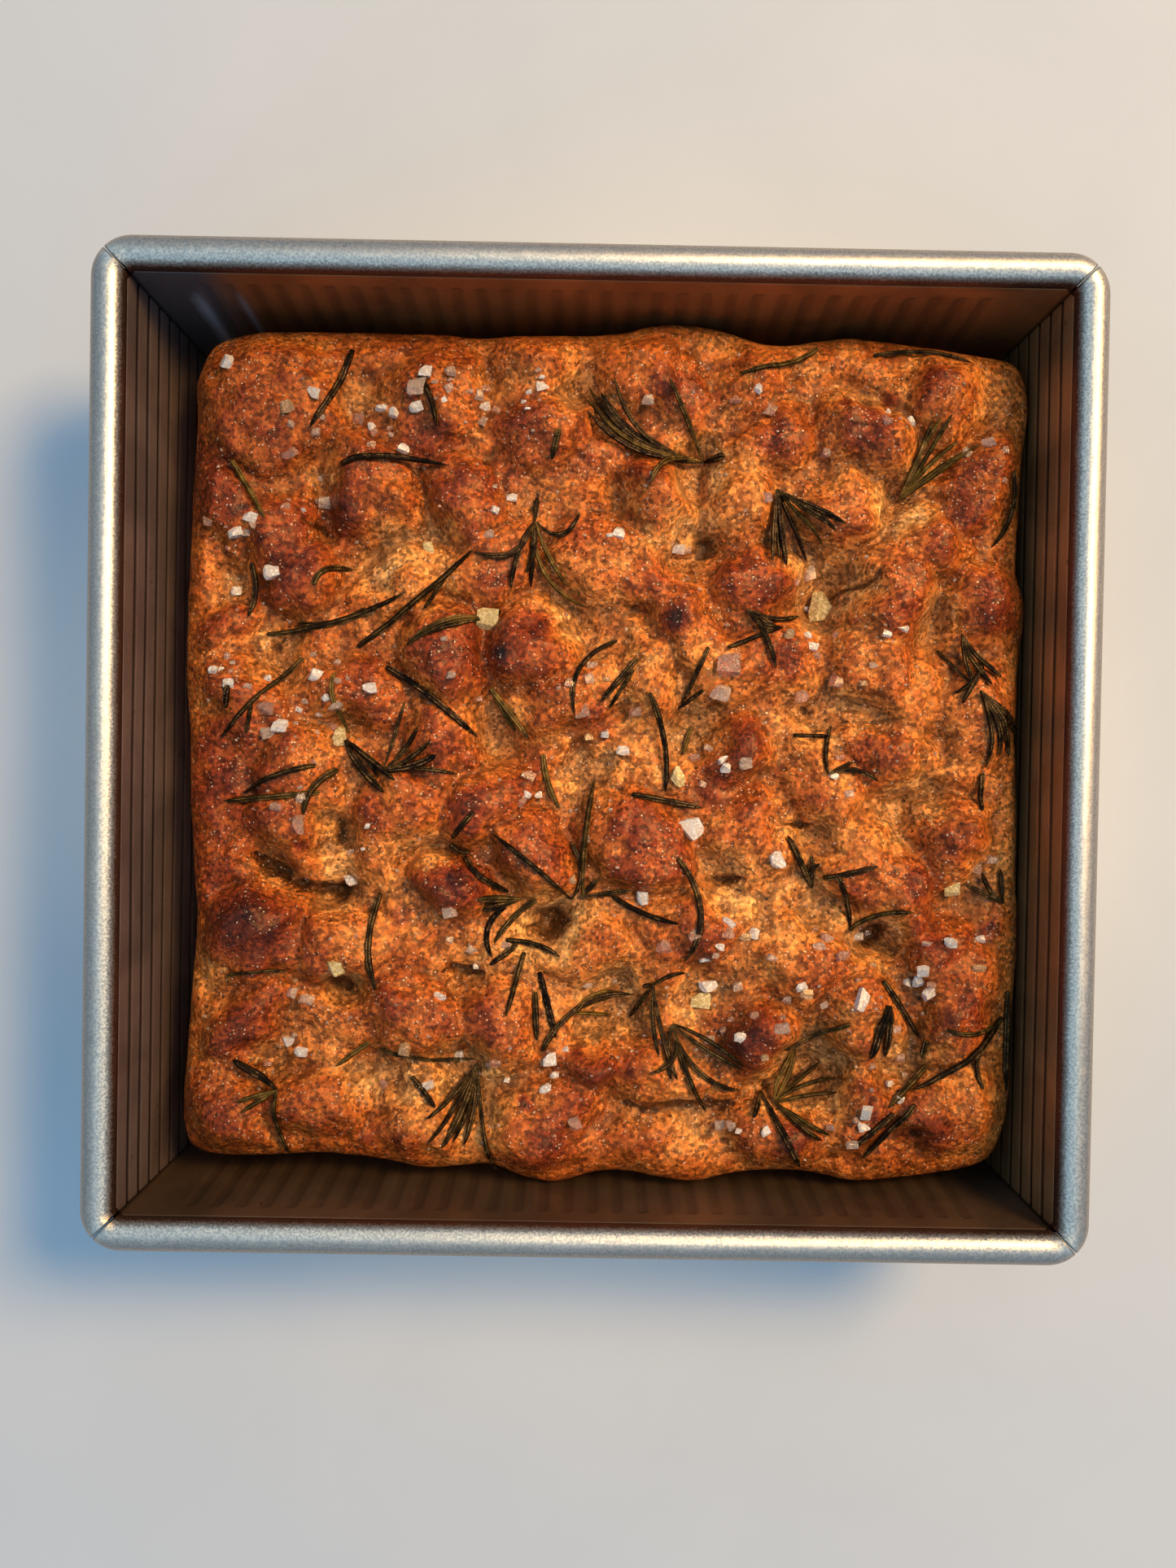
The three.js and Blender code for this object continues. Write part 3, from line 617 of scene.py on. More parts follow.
def sweep_bead(bm, turn):
    """One side's bead, from the crack at one corner to the crack at the next."""
    ring = bmesh.ops.create_circle(bm, segments=RIM_SIDES, radius=RIM_RADIUS)["verts"]
    bmesh.ops.rotate(bm, verts=ring, matrix=Matrix.Rotation(math.pi / 2, 3, "X"))
    corner = Vector((-CORNER_CENTRE, CORNER_CENTRE, RIM_LEVEL))
    bmesh.ops.translate(bm, verts=ring, vec=(RIM_WIDTH / 2 - RIM_RADIUS - CORNER_CENTRE, 0, 0))
    bmesh.ops.rotate(bm, verts=ring, matrix=Matrix.Rotation(math.radians(135) - CRACK_ANGLE, 3, "Z"))
    bmesh.ops.translate(bm, verts=ring, vec=corner)
    first = list(bm.edges)
    sweep = math.radians(45) - CRACK_ANGLE
    last = spin_edges(bm, first, corner, -sweep)
    for _ in range(RIM_RUNS):
        last = pull_edges(bm, last, (2 * CORNER_CENTRE / RIM_RUNS, 0, 0))
    last = spin_edges(bm, last, Vector((CORNER_CENTRE, CORNER_CENTRE, RIM_LEVEL)), -sweep)
    for end in (first, last):
        bmesh.ops.edgeloop_fill(bm, edges=end)
    bmesh.ops.bevel(bm, geom=first + last, offset=END_BEVEL, segments=2, profile=0.5,
                    affect="EDGES", material=-1)
    bmesh.ops.rotate(bm, verts=bm.verts, cent=(0, 0, 0), matrix=Matrix.Rotation(turn, 3, "Z"))


def spin_edges(bm, edges, centre, angle):
    # The keys of a dict keep their order. A set's order would differ from run to run.
    verts = list(dict.fromkeys(vert for edge in edges for vert in edge.verts))
    spun = bmesh.ops.spin(bm, geom=verts + edges, cent=centre, axis=UP, angle=angle, steps=CORNER_STEPS)
    return [item for item in spun["geom_last"] if isinstance(item, bmesh.types.BMEdge)]


print("a bead has", RIM_SIDES, "sides")


# %% Four beads make the rim
def rolled_rim():
    whole = bmesh.new()
    for quarter in range(4):
        bead = bmesh.new()
        sweep_bead(bead, quarter * math.pi / 2)
        bmesh.ops.recalc_face_normals(bead, faces=bead.faces)
        scratch = mesh_from("bead", bead)
        whole.from_mesh(scratch)
        bpy.data.meshes.remove(scratch)
    places = points_of(whole)
    reach = np.maximum(np.abs(places[:, 0]), np.abs(places[:, 1]))
    across = (reach - (RIM_WIDTH / 2 - RIM_RADIUS)) / RIM_RADIUS
    to_crack = np.abs(np.abs(places[:, 0]) - np.abs(places[:, 1])) / math.sqrt(2)
    add_mask(whole, "seam", np.exp(-((to_crack / CRACK_WIDTH) ** 2)))
    upward = (places[:, 2] - RIM_LEVEL) / RIM_RADIUS
    add_mask(whole, "roll", np.arctan2(across, upward) / (math.pi / 2))
    place_points(whole, places * MM)
    return whole


rim_mesh = rolled_rim()
print("rim points:", len(rim_mesh.verts))

# %% [markdown]
# ### Finishes of the tin
# Outside and on the rim the tinned steel is still bright: a metal with a satin roughness, and a
# very fine grain that breaks its highlight into sparks. Along the rim's crown a cream band is a
# painted highlight. Inside, oil has baked on in many rounds, so the sheet is a deep brown that still
# shines like metal. Each wall's brown is set for the light on it, and the far and right walls, which
# stand in shade, are painted a brighter orange-brown as painted reflected light from the bread. The
# grooves are painted dark as shade. In the far left corner a painted blue-grey reflection of the sky
# lies on the wall, with two painted highlight streaks. Burnt oil fills the corner cracks.


# %% Bright steel
# Round the roll: baked brown on the inner flank, then a cream band on the crown that is a painted
# highlight, then the duller outer flank.
ROLL_COLOURS_WITH_PAINTED_HIGHLIGHT = [
    (0.0, (0.11, 0.055, 0.032)), (0.13, (0.15, 0.080, 0.048)), (0.23, (0.42, 0.33, 0.25)),
    (0.31, (0.95, 0.86, 0.70)), (0.43, (0.98, 0.90, 0.74)), (0.54, (0.66, 0.56, 0.45)),
    (0.66, (0.50, 0.41, 0.33)), (1.0, (0.46, 0.38, 0.30)),
]
PIT_GREY = (0.14, 0.12, 0.10)
CRACK_BLACK = (0.006, 0.004, 0.003)


def bright_steel():
    """The colour runs round the roll, from the browned inner flank (0) to the outer one (1), with a painted
    highlight on the crown.
    """
    material, tree, surface = new_material("bright_steel")
    where = millimetres(tree)
    fine = cloud(tree, where, 0.55, detail=2.0)
    tarnish = cloud(tree, where, 9.0, detail=4.0)
    place = calculate(tree, "ADD", calculate(tree, "MULTIPLY", stored(tree, "roll"), 0.5), 0.5)
    place = calculate(tree, "ADD", place, weighted(tree, (fine, 0.10), (tarnish, 0.08)), clamp=True)
    colour = darken(tree, colour_ramp(tree, place, ROLL_COLOURS_WITH_PAINTED_HIGHLIGHT), remap(tree, fine, 0.3, 0.7, 0.72, 1.12))
    colour = cover(tree, colour, specks(tree, where, 1.9, 0.25, 0.14), PIT_GREY, 0.6)
    colour = cover(tree, colour, stored(tree, "seam"), CRACK_BLACK)
    surface.inputs["Metallic"].default_value = 0.85
    dress(tree, surface, colour, remap(tree, fine, 0.3, 0.7, 0.34, 0.50),
          grain(tree, where, 0.9, 0.4), strength=0.6, depth=0.10)
    return material


BRIGHT_STEEL = bright_steel()
print(BRIGHT_STEEL.name)


# %% Baked tin
GROOVE_SHADE_BLACK = (0.010, 0.006, 0.004)
PAINTED_SHEEN_GREY = (0.13, 0.135, 0.14)
PAINTED_GLEAM_WHITE = (0.62, 0.66, 0.70)
DUST = (0.50, 0.38, 0.26)
RUST = (0.025, 0.01, 0.006)
SEAM_BLACK = (0.004, 0.003, 0.002)


def baked_tin(name, colour, far_glow_colour, groove_shade_share):
    """The second colour is that of the far end wall; each colour is set for the light on its wall."""
    material, tree, surface = new_material(name)
    where = millimetres(tree)
    # The far end wall's colour holds painted reflected light from the bread.
    colour = blend_colours(tree, stored(tree, "far"), (*colour, 1), (*far_glow_colour, 1))
    stain = cloud(tree, where, 22.0, detail=5.0, warp=0.6)
    colour = darken(tree, colour, remap(tree, stain, 0.3, 0.7, 0.75, 1.2))
    # Painted shade: the grooves are darkened towards black, nearly fully on the side walls.
    colour = cover(tree, colour, stored(tree, "groove"), GROOVE_SHADE_BLACK, groove_shade_share)
    # Painted reflection: blue-grey sky on the far left corner, then two painted highlight streaks.
    colour = cover(tree, colour, stored(tree, "painted_sheen"), PAINTED_SHEEN_GREY, 0.85)
    colour = cover(tree, colour, stored(tree, "painted_gleam"), PAINTED_GLEAM_WHITE)
    colour = cover(tree, colour, specks(tree, where, 3.0, 0.15, 0.09), DUST, 0.6)
    colour = cover(tree, colour, specks(tree, where, 5.5, 0.25, 0.12), RUST, 0.6)
    colour = cover(tree, colour, stored(tree, "seam"), SEAM_BLACK)
    surface.inputs["Metallic"].default_value = 0.5
    dress(tree, surface, colour, remap(tree, cloud(tree, where, 1.1), 0.3, 0.7, 0.34, 0.48),
          cloud(tree, where, 0.8), strength=0.4, depth=0.08)
    return material


# Each wall's brown is set for the light that falls on it: the left wall, lit by the key, gets a greyer
# brown, and the right wall and far end, in shade, get a brighter orange-brown that is painted reflected
# light from the bread.
LEFT_BROWN_LIT_WALL = (0.245, 0.162, 0.130)
RIGHT_BROWN_PAINTED_GLOW = (0.42, 0.215, 0.080)
BAKED_ENDS_PAINTED_GLOW = baked_tin("baked_ends_painted_glow", (0.150, 0.084, 0.043), (0.36, 0.136, 0.039), 0.20)
BAKED_LEFT_LIT_WALL = baked_tin("baked_left_lit_wall", LEFT_BROWN_LIT_WALL, LEFT_BROWN_LIT_WALL, 0.92)
BAKED_RIGHT_PAINTED_GLOW = baked_tin("baked_right_painted_glow", RIGHT_BROWN_PAINTED_GLOW, RIGHT_BROWN_PAINTED_GLOW, 0.92)
print(BAKED_ENDS_PAINTED_GLOW.name, BAKED_LEFT_LIT_WALL.name, BAKED_RIGHT_PAINTED_GLOW.name)

# %% [markdown]
# The grids have no thickness yet. Solidify gives the sheet its second face outside, and its
# material offset gives that face the bright finish.


# %% The tin's pieces
def give_thickness(piece):
    sheet = piece.modifiers.new("sheet", "SOLIDIFY")
    sheet.thickness = (SHEET - RIB_DEPTH) * MM
    sheet.offset = -1
    sheet.material_offset = 1


tin_strip = make_piece("tin_floor_and_ends", strip_mesh, [BAKED_ENDS_PAINTED_GLOW, BRIGHT_STEEL])
give_thickness(tin_strip)
belong(tin_strip, "tin", "tin")
for label, side, finish in (("left", -1, BAKED_LEFT_LIT_WALL), ("right", 1, BAKED_RIGHT_PAINTED_GLOW)):
    wall = make_piece("tin_wall_" + label, side_wall(side), [finish, BRIGHT_STEEL])
    give_thickness(wall)
    belong(wall, "tin")
tin_rim = make_piece("tin_rim", rim_mesh, [BRIGHT_STEEL])
belong(tin_rim, "tin")

# %% [markdown]
# ## The bread's form
# Before baking, fingertips press hollows into the dough, and the gas between them lifts pillows. So
# the crust is described the way it came about: one table of pillows, one of hollows, and the outline
# of the loaf. The tables are the ones that the solid was made from; the finer marks after them are
# only here.

# %% Where the crust ends, seen from above
CRUST_EDGE = [
    (111, 8), (111.5, 25), (113, 36), (112.5, 43), (110.5, 50), (111, 64), (111.5, 77), (113, 90),
    (112.5, 98), (109, 104.5), (101.5, 106.5), (88.5, 108), (73.5, 110), (65, 110.5), (56.5, 109.5),
    (48, 108), (41.5, 108.5), (33, 111.5), (22, 113), (13.5, 112.5), (5, 110.5), (-8, 109.5),
    (-29.5, 108.5), (-46.5, 109.5), (-76.5, 109.5), (-89, 109), (-96, 107.5), (-101.5, 104.5),
    (-105, 96), (-105, 85.5), (-106, 68), (-106.5, 51), (-107, 34), (-107, 17), (-106, 4),
    (-105.5, -13), (-104.5, -30), (-103.5, -44), (-104.5, -60), (-105.5, -78), (-106.5, -91),
    (-106, -100.5), (-102.5, -106), (-90.5, -107.5), (-69, -106.5), (-52, -108), (-41, -110),
    (-26, -108.5), (-15, -112), (-7.5, -113), (3.5, -110), (13, -110), (28, -112), (39, -110),
    (52, -108.5), (63, -110), (72, -111.5), (87, -110), (100, -108), (108.5, -103), (112, -87),
    (112, -68), (113, -50), (112.5, -31), (112, -13.5),
]
BREAD_MIDDLE_X = 3.0
BREAD_HALF = 109.0
CRUST_BULGE = 0.9
print(len(CRUST_EDGE), "corners of the outline")


# %% The outline as a smooth curve
def smooth_loop(corners, steps):
    """A closed Catmull-Rom curve through the corners."""
    here = np.array(corners, float)
    before, after, beyond = np.roll(here, 1, 0), np.roll(here, -1, 0), np.roll(here, -2, 0)
    runs = []
    for t in np.linspace(0, 1, steps, endpoint=False):
        runs.append(0.5 * (2 * here + (after - before) * t
                           + (2 * before - 5 * here + 4 * after - beyond) * t ** 2
                           + (3 * here - before - 3 * after + beyond) * t ** 3))
    return np.stack(runs, 1).reshape(-1, 2)


edge_curve = smooth_loop(CRUST_EDGE, 10) - (BREAD_MIDDLE_X, 0)
edge_heading = np.arctan2(edge_curve[:, 1], edge_curve[:, 0])
edge_distance = np.hypot(edge_curve[:, 0], edge_curve[:, 1]) + CRUST_BULGE


def edge_reach(heading):
    return np.interp(heading, np.sort(edge_heading), edge_distance[np.argsort(edge_heading)],
                     period=2 * math.pi)


print("the crust reaches", round(float(edge_distance.max()), 1), "mm at its far corner")

# %% Pillows: x, y, radius, rise
PILLOWS = np.array([
    (-86, 90, 20, 3), (-59, 67, 14, 4), (-35, 64, 12, 3.5), (-42, 90, 13, 2.5), (-12, 84, 12, 3),
    (-96, 62, 11, 2.5), (-82, 56, 11, 3), (-75, 43, 10, 3), (-50, 45, 12, 3), (-91, 30, 10, 2),
    (-38, 25, 13, 4.5), (-16, 29, 12, 4.5), (-7, 15, 12, 3), (-60, 15, 12, 3), (-92, 12, 14, 3),
    (-38, 5, 12, 3), (-28, 49, 12, 3), (0, 50, 13, 2.5), (14, 98, 14, 3), (-18, 102, 13, 3),
    (40, 98, 12, 2.5), (47, 82, 11, 3), (70, 84, 12, 4), (90, 94, 13, 3.5), (101, 74, 12, 3),
    (64, 64, 12, 3), (84, 57, 12, 4), (16, 65, 12, 4), (36, 68, 10, 3), (44, 46, 12, 4),
    (14, 47, 12, 2.5), (24, 36, 12, 3.5), (77, 43, 15, 4.5), (101, 42, 12, 3), (42, 25, 16, 3),
    (76, 21, 16, 3), (12, 20, 12, 3), (101, 12, 13, 3), (38, 1, 10, 3.5), (76, 1, 13, 3),
    (60, -8, 12, 3), (94, -20, 12, 4), (70, -25, 12, 3), (12, -21, 15, 4), (78, -36, 12, 4),
    (42, -22, 13, 3), (28, -42, 13, 3), (56, -53, 14, 3.5), (94, -52, 13, 3), (47, -73, 10, 5),
    (3, -79, 9, 4), (18, -86, 13, 3), (72, -68, 12, 3), (96, -68, 12, 3), (70, -90, 13, 3),
    (92, -90, 14, 3), (50, -99, 12, 3), (-78, -5, 12, 3), (-88, -48, 15, 4), (-66, -50, 12, 3),
    (-36, -35, 10, 5), (-15, -27, 12, 4), (-50, -17, 14, 3), (-78, -17, 12, 3), (-44, -68, 14, 3),
    (-23, -70, 13, 3), (-89, -72, 12, 3), (-12, -98, 14, 3), (-70, -94, 12, 3), (-93, -95, 13, 3),
    (-44, -96, 13, 2.5), (-28, -12, 12, 3.5), (-2, -50, 12, 2.5), (20, -102, 14, 2),
], float)
print(len(PILLOWS), "pillows")

# %% Hollows pressed by fingertips: x, y, radius, depth
HOLLOWS = np.array([
    (-60, 91, 8, 3), (-25, 96, 8, 2), (-6, 93, 8, 4), (-71, 70, 8, 3), (-72, 57, 6, 2.5),
    (-57, 47, 9, 4.5), (-94, 44, 7, 4), (-84, 26, 10, 5.5), (-8, 37, 9, 4), (-45, 54, 7, 2),
    (-65, 7, 7, 3.5), (-24, 5, 9, 4.5), (26, 75, 8, 6), (6, 66, 7, 3), (23, 56, 9, 5),
    (53, 52, 8, 5), (60, 43, 8, 6), (57, 37, 7, 4), (89, 37, 10, 5), (79, 64, 9, 4.5),
    (67, 93, 7, 3.5), (28, 7, 8, 4), (56, 12, 6, 2.5), (70, 9, 6, 2.5), (-41, -26, 9, 5),
    (-66, -37, 8, 6), (-83, -31, 8, 5), (-66, -60, 6, 6), (-10, -45, 9, 6), (-4, -5, 9, 4.5),
    (-34, -57, 7, 3), (6, -66, 11, 8), (-58, -86, 10, 3.5), (-84, -80, 8, 4), (-28, -85, 11, 4.5),
    (-47, -90, 8, 2.5), (-96, -57, 8, 2.5), (84, -14, 10, 4.5), (53, -17, 6, 3), (35, -32, 8, 3.5),
    (61, -38, 7, 3.5), (75, -46, 8, 5.5), (95, -37, 9, 2.5), (30, -63, 9, 4), (58, -83, 10, 6.5),
    (80, -76, 8, 4.5), (48, -88, 7, 3), (26, -92, 12, 3), (8, -92, 8, 2.5), (-67, -22, 6, 4),
], float)
print(len(HOLLOWS), "hollows")

# %% Small steep holes: x, y, radius, depth, and cracks: from, to, width, depth
HOLES = np.array([
    (-84, 26.5, 2, 2), (-28, 76, 3, 2), (28.5, 55, 3, 3.5), (56.5, 12, 1.5, 2), (69, 92, 2, 2),
    (-66.5, -37.5, 3, 4), (-65.5, -61, 3, 4), (-10, -45.5, 4, 5), (75, -47, 3, 4), (86, -97, 2, 2),
    (10, 38, 2.4, 2), (7, -9, 2, 2), (48, -88, 2.5, 2),
], float)
CRACKS = np.array([
    (66, 9.5, 74, 9.5, 2.5, 2), (-76, 60, -71, 57, 2.5, 2.5), (62, 42, 73, 48, 2.5, 2.5),
    (-66.7, -18, -66.7, -25, 3.5, 3), (-89, -27, -80, -35, 5, 4), (-80, -35, -66, -38, 5, 4),
    (-39, -57.5, -29, -57.5, 3.5, 3), (50, -17.5, 57, -17, 3, 3), (31, -32, 40, -32, 3.5, 3),
    (10, -92, 38, -92, 6, 2.2), (-17, -46, -5, -44, 3, 3),
], float)
print(len(HOLES), "holes,", len(CRACKS), "cracks")

# %% [markdown]
# Neighbouring pillows meet in a crease. A plain sum would pile them up, so a soft maximum is taken,
# which follows the higher pillow and rounds the crease a little. Before the tables are read, each
# place is pushed about by slow noise, so that no pillow is a perfect circle. The hollows and the
# small holes are dents with a round floor, and a crack is a dent drawn out along a line.

# %% Noise for the crust
LAYER_GAP = 7.3
SLOW_PUSH = (4.2, 17, (1, 2))
QUICK_PUSH = (1.8, 6, (19, 21))


def rough(x, y, width, layer):
    """Smooth random numbers between about -1 and 1 over bumps of the given width."""
    places = np.stack([x / width, y / width, np.full_like(x, layer * LAYER_GAP)], -1).reshape(-1, 3)
    return np.array([noise.noise(place) for place in places.tolist()]).reshape(x.shape)


def billows(x, y, width, layer):
    """Rounded bumps with sharp creases between them, from about -0.2 to 0.5."""
    return np.abs(rough(x, y, width, layer)) - 0.2


def jostle(x, y, reach, width, layers):
    """Random steps in x and y of up to the reach."""
    return reach * np.stack([rough(x, y, width, layer) for layer in layers])


def pushed(x, y):
    """The places that the tables are read at."""
    return (x, y) + jostle(x, y, *SLOW_PUSH) + jostle(x, y, *QUICK_PUSH)


print("noise sample:", round(float(rough(np.array(3.0), np.array(4.0), 13, 1)), 3))


# %% Pillows that meet in creases
CREASE_SOFTNESS = 0.40
PILLOW_LIFT = 2.2
PILLOW_STRETCH = (0.84, 1.14)
PILLOW_ROUNDNESS = 2.3
TOO_DEEP = -6
GOLDEN_TURN = 2.4


def pillow_relief(x, y):
    """Height of the pillows: long and round ones with steep flanks, which meet in creases."""
    total = np.ones_like(x)
    for number, (px, py, radius, rise) in enumerate(PILLOWS):
        turn = GOLDEN_TURN * number
        along = (x - px) * math.cos(turn) + (y - py) * math.sin(turn)
        across = (y - py) * math.cos(turn) - (x - px) * math.sin(turn)
        away = np.hypot(along * PILLOW_STRETCH[0], across * PILLOW_STRETCH[1]) / radius
        cap = PILLOW_LIFT * rise * (1 - away ** PILLOW_ROUNDNESS)
        total += np.where(cap > TOO_DEEP, np.exp(cap / CREASE_SOFTNESS), 0)
    return CREASE_SOFTNESS * np.log(total)


print("pillows rise up to", round(PILLOW_LIFT * PILLOWS[:, 3].max(), 1), "mm")


# %% Dents and cracks
HOLLOW_SHARPNESS = 1.3
HOLE_SHARPNESS = 1.1
CRACK_SHARPNESS = 0.8


def dent(away, depth, sharpness, steepness=2.6):
    """A dent with a round floor and steep walls; the distance is in shares of its radius."""
    return depth * np.exp(-sharpness * away ** steepness)


def dents_of(x, y, table, sharpness):
    """Every dent of a table at the places, one after the other."""
    for px, py, radius, depth in table:
        yield dent(np.hypot(x - px, y - py) / radius, depth, sharpness)


def deepest(x, y, table, sharpness):
    total = np.zeros_like(x)
    for depth in dents_of(x, y, table, sharpness):
        total = np.maximum(total, depth)
    return total


def crack_relief(x, y):
    """Depth of the cracks, which gape widest in the middle of their run."""
    relief = np.zeros_like(x)
    for ax, ay, bx, by, width, depth in CRACKS:
        run_x, run_y = bx - ax, by - ay
        share = ((x - ax) * run_x + (y - ay) * run_y) / (run_x ** 2 + run_y ** 2)
        share = np.clip(share, 0, 1)
        away = np.hypot(x - ax - share * run_x, y - ay - share * run_y)
        gape = width * (0.12 + 0.24 * np.sin(math.pi * share))
        relief = np.maximum(relief, dent(away / gape, depth, CRACK_SHARPNESS, 2.4))
    return relief


print("a dent at half its radius:", round(dent(0.5, 1.0, HOLLOW_SHARPNESS), 2), "of its depth")

# %% Blisters: x, y, radius, rise, all drawn at random
BLISTER_COUNT = 420
BLISTER_RANGES = [(-104, 110), (-109, 110), (1.1, 3.2), (0.1, 0.7)]
random = np.random.default_rng(SEED)
BLISTERS = np.column_stack([random.uniform(*limits, BLISTER_COUNT) for limits in BLISTER_RANGES])


def blister_relief(x, y):
    relief = np.zeros_like(x)
    for bx, by, radius, rise in BLISTERS:
        relief = np.maximum(relief, rise * (1 - ((x - bx) ** 2 + (y - by) ** 2) / radius ** 2))
    return relief


print(len(BLISTERS), "blisters")


# %% All of the crust's relief in one function
CRUST_TOP = 35.5
SHOULDER_WIDTH = 9.0
SHOULDER_DROP = 6.5
SHOULDER_CALM = 0.75
HOLLOW_SCALE = 1.35


def crust_relief(x, y):
    """Relief above the crust's mean level, with its parts kept for the colours."""
    here = pushed(x, y)
    pillows = pillow_relief(*here)
    hollow_places = here + jostle(x, y, 1.3, 4, (16, 17))
    hollows = HOLLOW_SCALE * sum(dents_of(*hollow_places, HOLLOWS, HOLLOW_SHARPNESS))
    cut_places = (x, y) + jostle(x, y, 1.5, 4, (8, 9))
    cuts = np.maximum(deepest(*cut_places, HOLES, HOLE_SHARPNESS), crack_relief(*cut_places))
    wrinkles = 2.0 * rough(x, y, 22, 18) + 1.7 * rough(x, y, 9, 20)
    wrinkles = wrinkles + 1.8 * billows(*here, 12, 3) + 1.2 * rough(*here, 4.5, 4)
    skin = 0.35 * rough(x, y, 2.4, 10) + 0.2 * billows(x, y, 1.7, 12)
    total = pillows - hollows - cuts + wrinkles + skin + blister_relief(*here)
    return pillows, hollows, cuts, total


def edge_share(x, y):
    """0 in the middle of the bread and 1 at its edge."""
    return np.hypot(x - BREAD_MIDDLE_X, y) / edge_reach(np.arctan2(y, x - BREAD_MIDDLE_X))


def crust_height(x, y):
    inward = (1 - edge_share(x, y)) * BREAD_HALF
    down = np.clip(1 - inward / SHOULDER_WIDTH, 0, 1)
    shoulder = SHOULDER_DROP * (1 - np.sqrt(1 - down * down))
    relief = crust_relief(x, y)
    return CRUST_TOP - shoulder + relief[3] * (1 - SHOULDER_CALM * down), relief, down


probe = crust_height(np.array([0.0, 84.0]), np.array([0.0, 57.0]))[0]
print("crust height at two places:", probe.round(1))

# %% [markdown]
# ## The bread's mesh
# A square grid is stretched out to the outline by rays from the middle, which keeps its cells even
# and leaves no pole on top. Its border is extruded down step by step for the sides, which draw in
# towards the foot, and the last loop is filled. Then every point is moved to its place.

# %% Grid with extruded sides
CRUST_CELLS = 270
SIDE_ROWS = 12
BREAD_FLOOR = 1.3
SIDE_LEVELS = np.array([0, 2, 5, 11, 17, 22, 27.0])
SIDE_INSETS = np.array([6.0, 4.4, 3.2, 1.9, 0.8, 0.25, 0.0])
EDGE_BAND = 0.88


def bread_blank():
    bm = bmesh.new()
    bmesh.ops.create_grid(bm, x_segments=CRUST_CELLS, y_segments=CRUST_CELLS, size=1)
    border = [edge for edge in bm.edges if edge.is_boundary]
    for _ in range(SIDE_ROWS):
        border = pull_edges(bm, border, (0, 0, -1))
    bmesh.ops.edgeloop_fill(bm, edges=border)
    return bm


bread_mesh = bread_blank()
print("bread blank:", len(bread_mesh.verts), "points")


# %% Every point to its place
def shape_bread(bm):
    flat = points_of(bm)
    u, v, row = flat[:, 0], flat[:, 1], np.rint(-flat[:, 2])
    ring = np.maximum(np.abs(u), np.abs(v))
    near_edge = np.clip((ring - EDGE_BAND) / (1 - EDGE_BAND), 0, 1)
    crowded = 0.4 * near_edge + 0.6 * np.sin(near_edge * math.pi / 2)
    ring = np.where(ring > EDGE_BAND, EDGE_BAND + (1 - EDGE_BAND) * crowded, ring)
    heading = np.arctan2(v, u)
    reach = ring * edge_reach(heading)
    x = BREAD_MIDDLE_X + reach * np.cos(heading)
    y = reach * np.sin(heading)
    z, relief, down = crust_height(x, y)
    level = (z - BREAD_FLOOR) * (1 - row / SIDE_ROWS)
    inset = np.interp(level, SIDE_LEVELS, SIDE_INSETS)
    uneven = 0.5 * rough(heading * 60, level, 9, 5) + 0.25 * rough(heading * 110, level, 3, 6)
    draw_in = np.where(row > 0, 1 - (inset - uneven * np.minimum(row, 4) / 4) / BREAD_HALF, 1)
    x = np.where(row > 0, BREAD_MIDDLE_X + (x - BREAD_MIDDLE_X) * draw_in, x)
    y = np.where(row > 0, y * draw_in, y)
    z = np.where(row > 0, BREAD_FLOOR + level, z)
    place_points(bm, np.stack([x, y, z], 1) * MM)
    return x, y, z, relief, down, row


bread_x, bread_y, bread_z, bread_relief, bread_down, bread_row = shape_bread(bread_mesh)
print("bread from", round(float(bread_z.min()), 1), "to", round(float(bread_z.max()), 1), "mm high")

# %% [markdown]
# ## Where the crust is dark and where it is pale
# Domes stand nearer to the oven's heat and brown first, some nearly black; hollows stay pale and
# hold oil. Most of the browning is worked out from the relief, and a table adds the patches that
# stand out. The pale dough follows the hollows. Both are stored on the mesh for the material to read.

